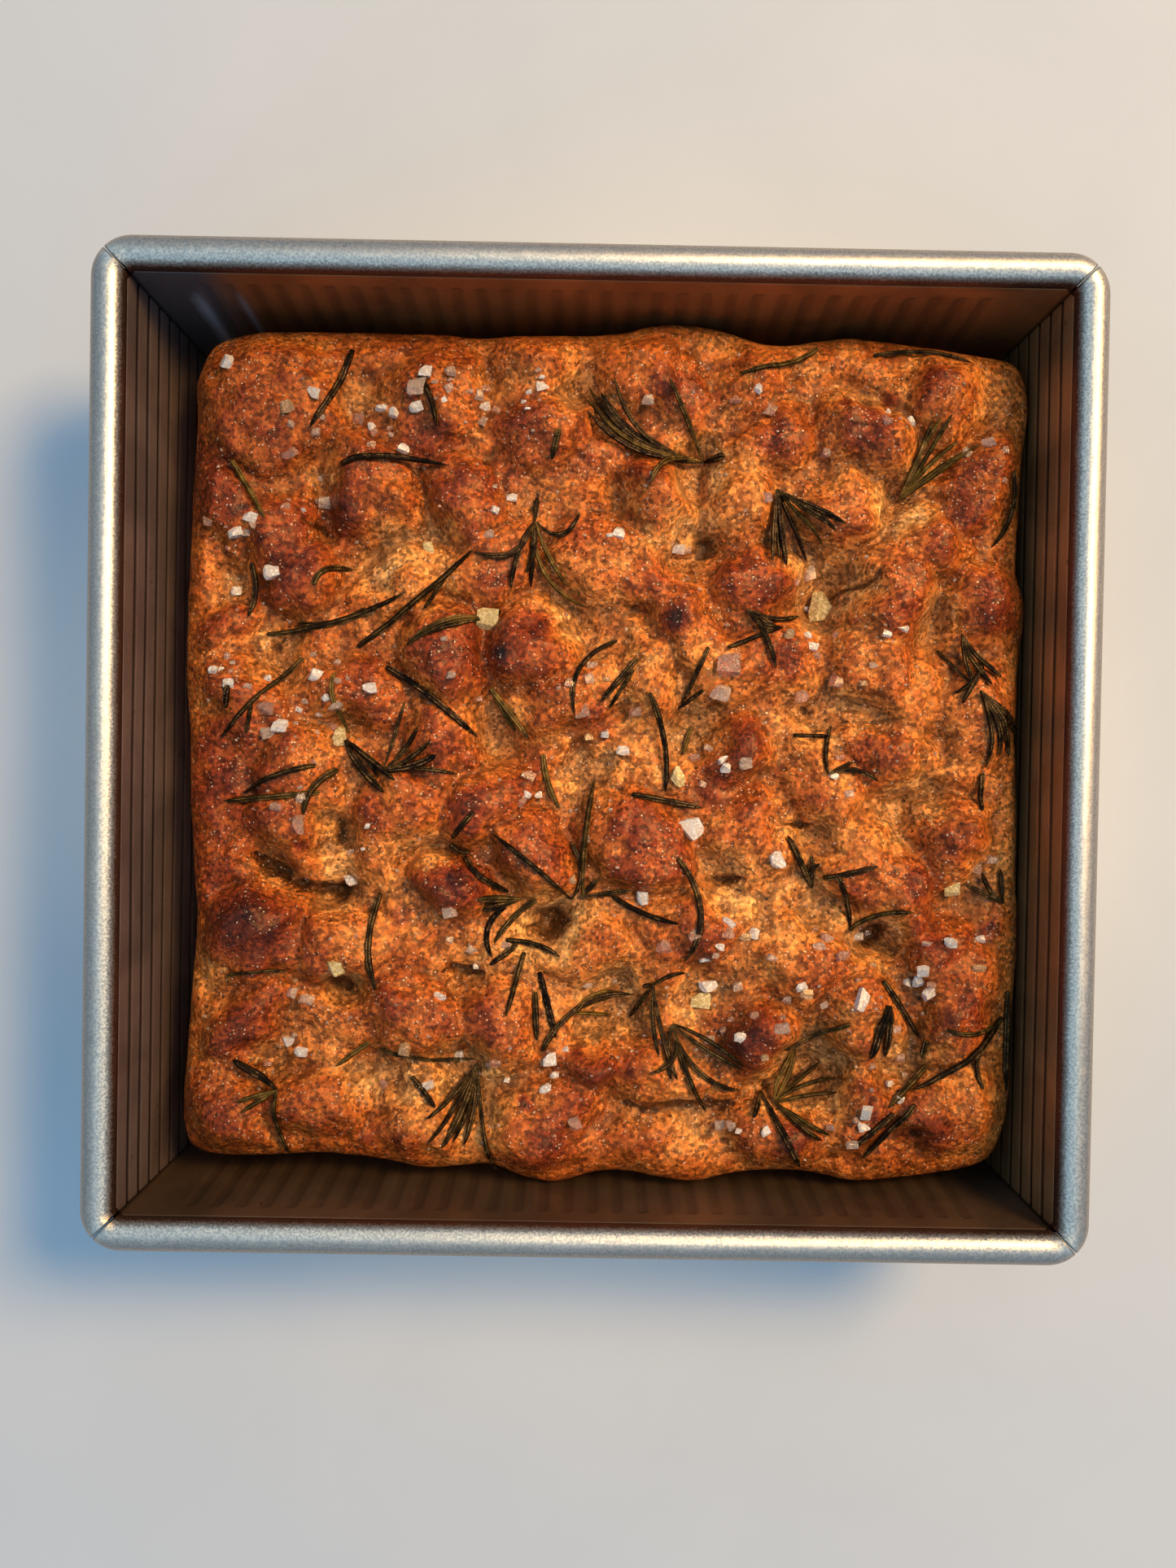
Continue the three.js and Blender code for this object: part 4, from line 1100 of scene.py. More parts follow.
# %% Scorched patches: x, y, radius, strength
SCORCHED = np.array([
    (-24, 25, 3.2, 1), (-27, 27, 10, 0.4), (-15, 33, 5, 0.65), (-67, 61, 7, 0.55), (-35, 65, 10, 0.38),
    (-32, 57, 6, 0.42), (-78, 46, 6, 0.5), (-92, 62, 2.2, 0.8), (-86, 54, 1.3, 0.9), (-46, 81, 7, 0.42),
    (-20, 85, 9, 0.35), (-2, 79, 6, 0.4), (-1, 58, 8, 0.42), (-85, 89, 14, 0.22), (-56, 24, 9, 0.32),
    (-60, 41, 9, 0.3), (-40, 26, 8, 0.48), (-47, 34, 3, 0.5), (-13, 22, 9, 0.32), (-100, 71, 10, 0.3),
    (0, 7, 7, 0.45), (-32, -2, 4, 0.5), (-27, 71, 7, 0.35), (-60, 10, 6, 0.3), (-82, 38, 8, 0.25),
    (-52, 32, 5, 0.35), (-23, 48, 5, 0.35), (20, 35, 3.8, 1), (68, 83, 6, 0.55), (86, 96, 6, 0.6),
    (94, 65, 6, 0.5), (83, 53, 9, 0.42), (98, 57, 3, 0.5), (103, 39, 7, 0.38), (81, 37, 8, 0.28),
    (37, 49, 9, 0.42), (38, 5, 7, 0.48), (72, 3, 8, 0.48), (48, 27, 6, 0.3), (8, 68, 9, 0.32),
    (14, 45, 7, 0.35), (45, 82, 6, 0.4), (7, 78, 8, 0.3), (24, 94, 7, 0.3), (63, 91, 1.6, 0.8),
    (75, 93, 1.8, 0.8), (95, 75, 8, 0.3), (64, 60, 8, 0.25), (47, 44, 7, 0.35), (77, 102, 9, 0.25),
    (41, 86, 7, 0.3), (-58, -16, 5, 0.5), (-35, -34, 8, 0.6), (-43, -32, 6, 0.4), (-58, -73, 10, 0.28),
    (-88, -45, 14, 0.42), (-80, -48, 8, 0.35), (-87, -73, 7, 0.4), (-50, -43, 2.6, 0.75),
    (-80, -30, 3, 0.5), (-76, -24, 1.3, 0.85), (-10, -27, 11, 0.36), (-18, -5, 9, 0.4), (2, -80, 9, 0.4),
    (-3, -77, 1.5, 0.9), (-16, -91, 1.8, 0.95), (-33, -78, 1.3, 0.9), (-8, -82, 1.2, 0.9),
    (-49, -101, 1.2, 0.9), (-9, -99, 8, 0.25), (-95, -6, 8, 0.35), (-33, -15, 6, 0.3),
    (-70, -60, 5, 0.3), (-30, -69, 9, 0.25), (2, -50, 7, 0.25), (-51, -65, 6, 0.25), (-25, -31, 7, 0.35),
    (69, -36, 6, 0.55), (85, -31, 7, 0.48), (89, -18, 8, 0.45), (90, -45, 8, 0.48),
    (103, -45, 3.5, 0.55), (41, -13, 8, 0.32), (31, -8, 6, 0.45), (14, -17, 8, 0.42), (9, -31, 6, 0.35),
    (40, -71, 9, 0.55), (39, -74, 3, 0.8), (42, -70, 2, 0.8), (29, -49, 7, 0.28), (61, -52, 8, 0.3),
    (98, -65, 7, 0.42), (45, -62, 3, 0.4), (55, -97, 5, 0.4), (70, -86, 6, 0.3), (7, -79, 6, 0.4),
    (53, -10, 7, 0.22), (22, -26, 6, 0.3), (88, -97, 7, 0.28), (96, -44, 7, 0.35), (65, -45, 6, 0.25),
], float)
print(len(SCORCHED), "scorched patches")

# %% Pale dough in the fingertips' hollows: x, y, radius, strength
PALE_SHARE = 0.85
PALE_LEAST = 0.45
PALE_MOST = 0.9
PALE_PER_DEPTH = 0.08
pale_strength = np.minimum(PALE_LEAST + PALE_PER_DEPTH * HOLLOWS[:, 3], PALE_MOST)
PALE = np.column_stack([HOLLOWS[:, :2], PALE_SHARE * HOLLOWS[:, 2], pale_strength])
print(len(PALE), "pale hollows")


# %% Means of the neighbourhood
def spread_out(bm, values, rounds):
    """The values after each point has taken its neighbours' mean, round after round."""
    pairs = np.array([[edge.verts[0].index, edge.verts[1].index] for edge in bm.edges])
    count = np.bincount(pairs.ravel(), minlength=len(values))
    for _ in range(rounds):
        total = np.bincount(pairs[:, 0], values[pairs[:, 1]], len(values))
        values = (total + np.bincount(pairs[:, 1], values[pairs[:, 0]], len(values))) / count
    return values


bread_mesh.verts.index_update()
fine_mean = spread_out(bread_mesh, bread_z, 8)
coarse_mean = spread_out(bread_mesh, fine_mean, 60)
print("domes stand up to", round(float((fine_mean - coarse_mean).max()), 1), "mm over their surroundings")


# %% Masks of the crust
BROWN_MEAN = 0.272
BROWN_PER_RISE = 0.010
PALE_PER_HOLLOW = 0.05
BROWN_SWING = 0.20
BROWN_AT_WALLS = 0.05
BROWN_ACROSS = 0.0006
SCORCH_SHARE = 0.55
KNOB_HEIGHT = 0.35
DOME_HEIGHT = 1.2
SIDE_BROWN = 0.3
FULL_CUT = 2.0


def mark_crust(bm):
    pillows, hollows, cuts = bread_relief[:3]
    here = (bread_x, bread_y) + jostle(bread_x, bread_y, 1.6, 6, (14, 15))
    near_walls = ease((edge_share(bread_x, bread_y) - 0.55) / 0.4)
    browning = BROWN_MEAN + BROWN_PER_RISE * pillows - PALE_PER_HOLLOW * hollows
    browning = browning + BROWN_SWING * rough(bread_x, bread_y, 28, 11)
    browning = browning + BROWN_AT_WALLS * near_walls - BROWN_ACROSS * bread_x
    browning = browning + SCORCH_SHARE * deepest(*here, SCORCHED, 1.0)
    knobs = np.clip((bread_z - fine_mean) / KNOB_HEIGHT, -1, 1)
    domes = np.clip((fine_mean - coarse_mean) / DOME_HEIGHT, -1, 1)
    browning = browning + (0.04 * knobs + 0.03 * domes) * (1 - bread_down)
    on_side = bread_row > 0
    add_mask(bm, "browning", np.clip(np.where(on_side, SIDE_BROWN, browning), 0, 1.3))
    add_mask(bm, "pale", np.where(on_side, 0.0, deepest(*here, PALE, 1.0)))
    # The depth and crease masks carry painted shade: nearly black in the cuts, red-brown in concave folds.
    add_mask(bm, "depth", np.clip(cuts / FULL_CUT, 0, 1))
    add_mask(bm, "crease", np.clip(-0.7 * knobs - 0.8 * domes - 0.05, 0, 1) * (1 - bread_down))
    print("browning between", round(float(browning.min()), 2), "and", round(float(browning.max()), 2))


mark_crust(bread_mesh)

# %% [markdown]
# ### Crust finish
# Fried in oil, the crust is orange-brown with a fine grain of bubbles. The colour is a ramp from
# pale dough over gold and red-brown to near black, read at the stored browning plus noise of three
# sizes. Pale dough shows in the hollows. Painted shade turns the folds red-brown and the cuts nearly
# black, and paints the grain's pits darker than its tops; every tiny cell is also a little lighter or
# darker than the next. Specks of char lie over it all in clusters, and so do painted glints: pale
# sparks where oil glitters on the bubbles' tops.


# %% Colours of the crust
CRUST_BROWNS = [
    (0.0, (0.93, 0.44, 0.125)), (0.16, (0.80, 0.265, 0.048)), (0.38, (0.53, 0.118, 0.016)),
    (0.58, (0.29, 0.043, 0.009)), (0.80, (0.11, 0.016, 0.007)), (1.0, (0.022, 0.007, 0.006)),
]
DOUGH_COLOURS = [
    (0.0, (0.88, 0.37, 0.09)), (0.14, (0.98, 0.56, 0.21)), (0.30, (0.56, 0.20, 0.038)),
]
FOLD_SHADE_BROWN = (0.15, 0.024, 0.004)
CUT_SHADE_BROWN = (0.050, 0.013, 0.003)
CHAR_BLACK = (0.014, 0.007, 0.005)
PAINTED_GLINT = (1.0, 0.68, 0.40)
OIL_TINT = (1.0, 0.66, 0.40, 1)
print("the crust has", len(CRUST_BROWNS), "browns")


# %% Layers of the crust's colour
def brown_crust(tree, where, mottle, fine):
    """The baked colour at the stored browning, which noise of three sizes shifts."""
    blotches = cloud(tree, where, 7.0, detail=4.0, roughness=0.6, warp=0.3)
    shifts = weighted(tree, (blotches, 0.64), (mottle, 0.38), (fine, 0.20))
    level = calculate(tree, "ADD", stored(tree, "browning"), shifts, clamp=True)
    return colour_ramp(tree, level, CRUST_BROWNS)


def show_dough(tree, where, colour, mottle, fine):
    """Pale bubbly dough where the hollows are, with a ragged edge."""
    bubbles = cells(tree, where, 2.1)
    dough = colour_ramp(tree, weighted(tree, (bubbles, 1.3), (fine, 0.5)), DOUGH_COLOURS)
    ragged = calculate(tree, "ADD", stored(tree, "pale"), weighted(tree, (mottle, 1.1), (fine, 0.4)))
    share = calculate(tree, "MULTIPLY", remap(tree, ragged, 0.66, 0.76), 0.7)
    return blend_colours(tree, share, colour, dough)


def paint_fold_and_cut_shade(tree, colour, mottle):
    """Painted shade: red-brown in the creases and nearly black in the cuts."""
    folds = calculate(tree, "ADD", stored(tree, "crease"), weighted(tree, (mottle, 0.7)))
    colour = cover(tree, colour, remap(tree, folds, 0.25, 0.75, 0.0, 0.60), FOLD_SHADE_BROWN)
    cuts = calculate(tree, "ADD", stored(tree, "depth"), weighted(tree, (mottle, 0.5)))
    return cover(tree, colour, remap(tree, cuts, 0.40, 0.95, 0.0, 0.80), CUT_SHADE_BROWN)


def scatter_marks(tree, where, colour):
    """Char and pepper, then painted glints, each thicker in some places than in others."""
    sooty = remap(tree, cloud(tree, where, 14.0, detail=2.0), 0.42, 0.62, 0.18, 0.80)
    char = specks(tree, where, 2.6, sooty, 0.20)
    pepper = calculate(tree, "MULTIPLY", specks(tree, where, 1.5, 0.45, 0.26), 0.8)
    colour = cover(tree, colour, calculate(tree, "MAXIMUM", char, pepper), CHAR_BLACK, 0.85)
    # Painted glints: pale sparks in clusters over the crust.
    clusters = remap(tree, cloud(tree, where, 5.0, detail=3.0), 0.40, 0.66, 0.08, 0.85)
    return cover(tree, colour, specks(tree, where, 0.90, clusters, 0.33), PAINTED_GLINT, 0.60)


print("layers:", [layer.__name__ for layer in (brown_crust, show_dough, paint_fold_and_cut_shade, scatter_marks)])


# %% Crust material
def crust_finish():
    material, tree, surface = new_material("oiled_crust")
    where = millimetres(tree)
    mottle = cloud(tree, where, 2.0, detail=3.0)
    fine = cloud(tree, where, 0.6, detail=2.0)
    relief = grain(tree, where, 1.1, 0.5)
    colour = brown_crust(tree, where, mottle, fine)
    colour = show_dough(tree, where, colour, mottle, fine)
    colour = paint_fold_and_cut_shade(tree, colour, mottle)
    # Painted shade: the grain's pits are darker than its bubble tops.
    colour = darken(tree, colour, remap(tree, relief, -0.16, 0.16, 0.60, 1.02))
    colour = darken(tree, colour, remap(tree, speckle(tree, where, 0.95), 0.0, 1.0, 0.46, 1.54))
    colour = scatter_marks(tree, where, colour)
    swells = calculate(tree, "MULTIPLY", cloud(tree, where, 2.4, detail=1.0), 1.1)
    surface.inputs["Specular Tint"].default_value = OIL_TINT
    dress(tree, surface, colour, remap(tree, mottle, 0.3, 0.7, 0.26, 0.42),
          calculate(tree, "ADD", relief, swells), strength=1.0, depth=0.4)
    return material


OILED_CRUST = crust_finish()
bread = make_piece("focaccia_crust", bread_mesh, [OILED_CRUST])
belong(bread, "crust", "focaccia")

# %% [markdown]
# ## Rosemary needles
# A rosemary leaf is a narrow blade with its edges rolled under and a groove along the top. Roasting
# turns it near black, wrinkled and glossy; where it lay in oil it stays olive. One leaf is lathed
# from its half outline, and every needle of the bread is a copy of it, flattened, grooved, twisted
# a little, and bent along its own path over the crust.

# %% The leaf that all needles are copied from
LEAF_RINGS = 14
LEAF_SIDES = 16


def leaf_girth(share):
    """How full the leaf is along its length: a narrow foot, then even, then a short tip."""
    foot = 0.70 + 0.30 * ease(share / 0.15)
    tip = np.clip(1 - np.clip((share - 0.65) / 0.35, 0, 1) ** 2.4, 0, 1) ** 0.6
    return foot * tip


def lathe_leaf():
    bm = bmesh.new()
    shares = ease(np.linspace(0, 1, LEAF_RINGS + 1)) * 0.5 + np.linspace(0, 1, LEAF_RINGS + 1) * 0.5
    girths = leaf_girth(shares)
    girths[0] = girths[-1] = 0
    shares[1] = 0.012
    outline = [bm.verts.new((share, 0, girth)) for share, girth in zip(shares, girths)]
    edges = [bm.edges.new(pair) for pair in zip(outline, outline[1:])]
    bmesh.ops.spin(bm, geom=outline + edges, cent=(0, 0, 0), axis=(1, 0, 0), angle=2 * math.pi,
                   steps=LEAF_SIDES, use_merge=True)
    bmesh.ops.remove_doubles(bm, verts=bm.verts, dist=1e-5)
    bmesh.ops.recalc_face_normals(bm, faces=bm.faces)
    return mesh_from("leaf", bm)


LEAF = lathe_leaf()
print("one leaf:", len(LEAF.polygons), "faces")

# %% [markdown]
# A needle is stiff, so it doesn't follow every dip. Its height is worked out at stations along its
# path: the crust's height there, the taut line over the high points, and a level between the two.

# %% Where a needle lies
LEAF_HALF_WIDTH = 0.82
LEAF_HALF_THICK = 0.62
LEAF_LIFT = 0.55
GROUND_SHARE = 0.7
STATIONS = np.linspace(0, 1, 17)


def leaf_path(x, y, heading, length, bow, share):
    angle = math.radians(heading)
    along = length * share
    aside = 4 * bow * share * (1 - share)
    return (x + along * math.cos(angle) - aside * math.sin(angle),
            y + along * math.sin(angle) + aside * math.cos(angle))


def taut_line(level):
    """The upper hull of the heights: a thread pulled tight over them."""
    corners = []
    for place in zip(STATIONS, level):
        while len(corners) > 1 and rises_above(corners[-2], corners[-1], place):
            corners.pop()
        corners.append(place)
    return np.interp(STATIONS, [c[0] for c in corners], [c[1] for c in corners])


def rises_above(first, middle, last):
    """True when the middle corner lies under the line from the first to the last."""
    share = (middle[0] - first[0]) / (last[0] - first[0])
    return middle[1] <= first[1] + (last[1] - first[1]) * share


def resting_level(leaf, stiffness):
    """Heights of the needle at its stations: from 0, which follows the crust, to 1, taut."""
    x, y, heading, length, bow, _, girth = leaf
    px, py = leaf_path(x, y, heading, length, bow, STATIONS)
    side_x = -math.sin(math.radians(heading)) * girth * GROUND_SHARE
    side_y = math.cos(math.radians(heading)) * girth * GROUND_SHARE
    ground = np.max([crust_height(px + k * side_x, py + k * side_y)[0] for k in (-1, 0, 1)], axis=0)
    level = ground + (taut_line(ground) - ground) * stiffness
    for _ in range(2):
        smooth = level.copy()
        smooth[1:-1] = (level[:-2] + 2 * level[1:-1] + level[2:]) / 4
        level = np.maximum(smooth, ground)
    return level + LEAF_HALF_THICK * LEAF_LIFT


sample = resting_level((-66, 73, 0, 28, 2, 0.05, 1.0), 0.5)
print("a needle lies between", round(float(sample.min()), 1), "and", round(float(sample.max()), 1), "mm")

# %% Bending one leaf into place
TWIST = 0.5
TWIST_ALONG = 0.9
GROOVE_WIDTH = 0.22
GROOVE_ABOVE = 0.5
GROOVE_BELOW = 0.35
WRINKLE = 0.10
leaf_points = np.array([vert.co[:] for vert in LEAF.vertices])
leaf_span = np.hypot(leaf_points[:, 1], leaf_points[:, 2])
leaf_side = np.abs(leaf_points[:, 1]) / np.maximum(leaf_span, 1e-6)


def leaf_section(length, girth, foot, random):
    """How far each point lies to the side of the leaf's path and above it."""
    share, across, up = leaf_points.T
    twist = random.uniform(-TWIST, TWIST) + random.uniform(-TWIST_ALONG, TWIST_ALONG) * share
    groove = np.where(up > 0, GROOVE_ABOVE, GROOVE_BELOW) * np.exp(-(across / GROOVE_WIDTH) ** 2)
    beads = np.sin(share * length * 1.9 + random.uniform(0, 6)) * np.sin(share * length * 0.7)
    narrowed = foot + (1 - foot) * ease(share / 0.45)
    wide = across * LEAF_HALF_WIDTH * girth * (1 + WRINKLE * beads) * narrowed
    thick = up * (1 - groove) * LEAF_HALF_THICK * girth
    return wide * np.cos(twist) - thick * np.sin(twist), wide * np.sin(twist) + thick * np.cos(twist)


def add_leaf(bm, leaf, level, random, foot=1.0):
    """Copies the leaf into the bmesh and lays it along its path."""
    x, y, heading, length, bow, tone, girth = leaf
    share = leaf_points[:, 0]
    aside, above = leaf_section(length, girth, foot, random)
    px, py = leaf_path(x, y, heading, length, bow, share)
    slope = math.radians(heading) + np.arctan(4 * bow * (1 - 2 * share) / length)
    pz = np.interp(share, STATIONS, level) + above
    places = np.stack([px - aside * np.sin(slope), py + aside * np.cos(slope), pz], 1) * MM
    greens = tone * (1 - 0.5 * share) + 0.5 * tone * np.clip(1 - share / 0.3, 0, 1)
    before = len(bm.verts)
    bm.from_mesh(LEAF)
    layers = bm.verts.layers.float
    green, side = (layers.get(name) or layers.new(name) for name in ("green", "side"))
    bm.verts.ensure_lookup_table()
    for vert, place, its_green, its_side in zip(bm.verts[before:], places, greens, leaf_side):
        vert.co = place
        vert[green] = float(min(1.0, its_green))
        vert[side] = float(its_side)


def filled(row, needed, defaults):
    """The row with the last defaults in the place of what it leaves out."""
    return (*row, *defaults[len(row) - needed:])


print("leaf row:", filled((-64, 104, -113, 24, 1), 5, (0.08, 1.0)))

# %% [markdown]
# The loose needles are scattered singly. A row gives where the thick end lies, the heading in
# degrees, the length and the sideways bow, then for some needles the tone and the girth.

# %% Loose needles
LOOSE_NEEDLES = [
    (-64, 104, -113, 24, 1, 0.05, 1.1), (-46, 96, -71, 14, 1), (-66, 73, 0, 28, 2, 0.05, 1.2),
    (-94, 74, -58, 18, 0, 0.8, 0.9), (-10, 82, -106, 7, 0, 0.3), (-89, 48, -93, 14, 1),
    (-72, 42, 34, 10, 2, 0.3, 1.0), (-86, 30, 16, 39, -2, 0.15), (-78, 33, 13, 19, -2, 0.05, 0.9),
    (-62, 27, 39, 40, -1, 0.12, 1.1), (-44, 37, 55, 10, 0, 0.1, 0.7), (-76, 24, -133, 30, 0, 0.12, 0.9),
    (-89, 4, 77, 8, 0, 0.1, 0.7), (-93, 16, -101, 6, 0, 0.0), (-67, 20, -79, 16, -1, 0.9, 0.8),
    (-54, 22, -37, 30, 1, 0.0, 1.1), (-27, 17, -52, 17, 0, 0.7, 0.9), (-26, 15, -59, 11, 0, 0.7, 0.8),
    (6, 30, -118, 23, -5, 0.05, 0.8), (11, 25, -129, 15, 0), (10, 22, -121, 12, 0, 0.1, 0.7),
    (29, 28, -113, 16, 0, 0.1, 0.8), (28, 17, -142, 8, 0, 0.1, 0.8), (34, 28, 22, 16, 0, 0.05, 0.8),
    (14, 16, -79, 26, 2), (26, 8, -108, 8, 0, 0.7, 0.8), (107, 75, -103, 20, 3, 0.15, 0.8),
    (57, 107, -159, 23, 2, 0.3, 0.9), (71, 105, -6, 25, 2, 0.15, 0.7), (-71, -4, -159, 21, -1, 0.15),
    (-70, -11, -174, 26, 0, 0.35, 1.0), (-66, -5, -123, 14, -2, 0.25, 1.2), (-13, 0, -72, 15, -1, 0.75),
    (-30, -15, -130, 10, 0), (-37, -24, -17, 6, -1), (-33, -27, -38, 15, -1),
    (-22, -40, -104, 14, -3, 0.0), (-14, -38, -133, 16, -1, 0.25), (-22, -49, -15, 15, 1),
    (-19, -50, -142, 9, 0), (-17, -52, -105, 16, 0, 0.2), (-13, -57, -75, 18, 0, 0.0, 1.1),
    (-14, -62, -87, 13, 0, 0.2, 1.0), (6, -37, -20, 18, -1), (22, -26, -85, 28, 5, 0.1, 1.0),
    (10, -10, -10, 19, 0), (-55, -37, -90, 25, -2, 0.15, 1.1), (-94, -59, 5, 16, 1, 0.2, 0.6),
    (-57, -76, -143, 11, 0, 0.7, 0.9), (-55, -78, -7, 26, -1, 0.2, 0.65), (-46, -85, -46, 10, 0),
    (-12, -78, 30, 28, 5), (67, -68, -155, 18, 0, 0.2, 0.8), (77, -63, -106, 15, 0, 0.05, 1.25),
    (77, -63, -86, 15, 0, 0.05, 1.25), (76, -57, -55, 20, 0), (88, -73, -97, 5, 0),
    (109, -67, -144, 31, 2, 0.1, 1.2), (89, -80, -141, 15, 0, 0.3, 1.1), (84, -88, -126, 20, 0),
    (79, -91, -139, 15, 0), (92, -69, 5, 18, -2, 0.2, 0.8), (104, -74, -97, 11, -2, 0.1, 0.8),
    (110, -60, -89, 27, 0, 0.1, 0.9), (60, -31, 15, 14, 0), (63, -30, -70, 15, 1),
    (68, -45, 22, 16, 2, 0.3, 0.9), (52, 6, -1, 10, 0, 0.1, 0.7), (101, -3, -95, 10, 0),
    (101, 27, -131, 13, 1), (100, 26, -118, 13, 0, 0.1, 0.9), (90, 29, -56, 12, 0, 0.1, 0.6),
]
LOOSE_TONE_AND_GIRTH = (0.08, 1.0)
LOOSE_STIFFNESS = 0.55


def lay_loose_needles():
    random = np.random.default_rng(SEED + 1)
    bm = bmesh.new()
    for row in LOOSE_NEEDLES:
        leaf = filled(row, 5, LOOSE_TONE_AND_GIRTH)
        add_leaf(bm, leaf, resting_level(leaf, LOOSE_STIFFNESS), random)
    return bm


loose_mesh = lay_loose_needles()
print(len(LOOSE_NEEDLES), "loose needles")

# %% [markdown]
# ### Needle finish
# The blade is dark brown to black with a waxy, oily gloss. Along its ridges runs a tan line, which is
# partly dry tan and partly a painted highlight; its groove stays black, and a fine wrinkle breaks the
# highlight into beads. The stored `green` takes it to olive and yellow-green.


# %% Needle material
DARK_LEAF = ((0.003, 0.0018, 0.0014, 1), (0.012, 0.006, 0.003, 1))
OLIVE_LEAF = ((0.036, 0.022, 0.003, 1), (0.18, 0.105, 0.010, 1))
DRY_TAN_AND_RIDGE_HIGHLIGHT = (0.40, 0.22, 0.075)
LEAF_TINT = (1.0, 0.58, 0.40, 1)


def needle_finish():
    material, tree, surface = new_material("roasted_rosemary")
    where = millimetres(tree)
    green, side = stored(tree, "green"), stored(tree, "side")
    streak = cloud(tree, where, 3.0, detail=3.0, warp=0.4)
    fine = cloud(tree, where, 0.45)
    dark = blend_colours(tree, remap(tree, streak, 0.4, 0.65), *DARK_LEAF)
    olive = blend_colours(tree, remap(tree, streak, 0.35, 0.65), *OLIVE_LEAF)
    # The tan on the ridges is partly dry tan and partly a painted highlight along them.
    ridge_band = calculate(tree, "MULTIPLY", remap(tree, side, 0.22, 0.42), remap(tree, side, 0.74, 0.54))
    dry = calculate(tree, "MULTIPLY", remap(tree, streak, 0.42, 0.62), remap(tree, fine, 0.35, 0.6))
    dry = calculate(tree, "MULTIPLY", dry, 0.65)
    tan = calculate(tree, "ADD", dry, calculate(tree, "MULTIPLY", green, 0.45))
    tan = calculate(tree, "MULTIPLY", ridge_band, tan, clamp=True)
    colour = cover(tree, blend_colours(tree, green, dark, olive), tan, DRY_TAN_AND_RIDGE_HIGHLIGHT)
    surface.inputs["Specular IOR Level"].default_value = 0.13
    surface.inputs["Specular Tint"].default_value = LEAF_TINT
    dress(tree, surface, colour, remap(tree, fine, 0.3, 0.7, 0.16, 0.34),
          grain(tree, where, 0.9, 0.45), strength=1.0, depth=0.35)
    return material


ROASTED = needle_finish()
loose = make_piece("loose_needles", loose_mesh, [ROASTED])
belong(loose, "rosemary")

# %% [markdown]
# ## Sprigs
# Where a twig's tip was dropped whole, its needles spread from one bit of stem. Each tuft is one
# piece and stands for one solid. Its needles start at one height over the crust, and their far ends
# come down to rest on it.

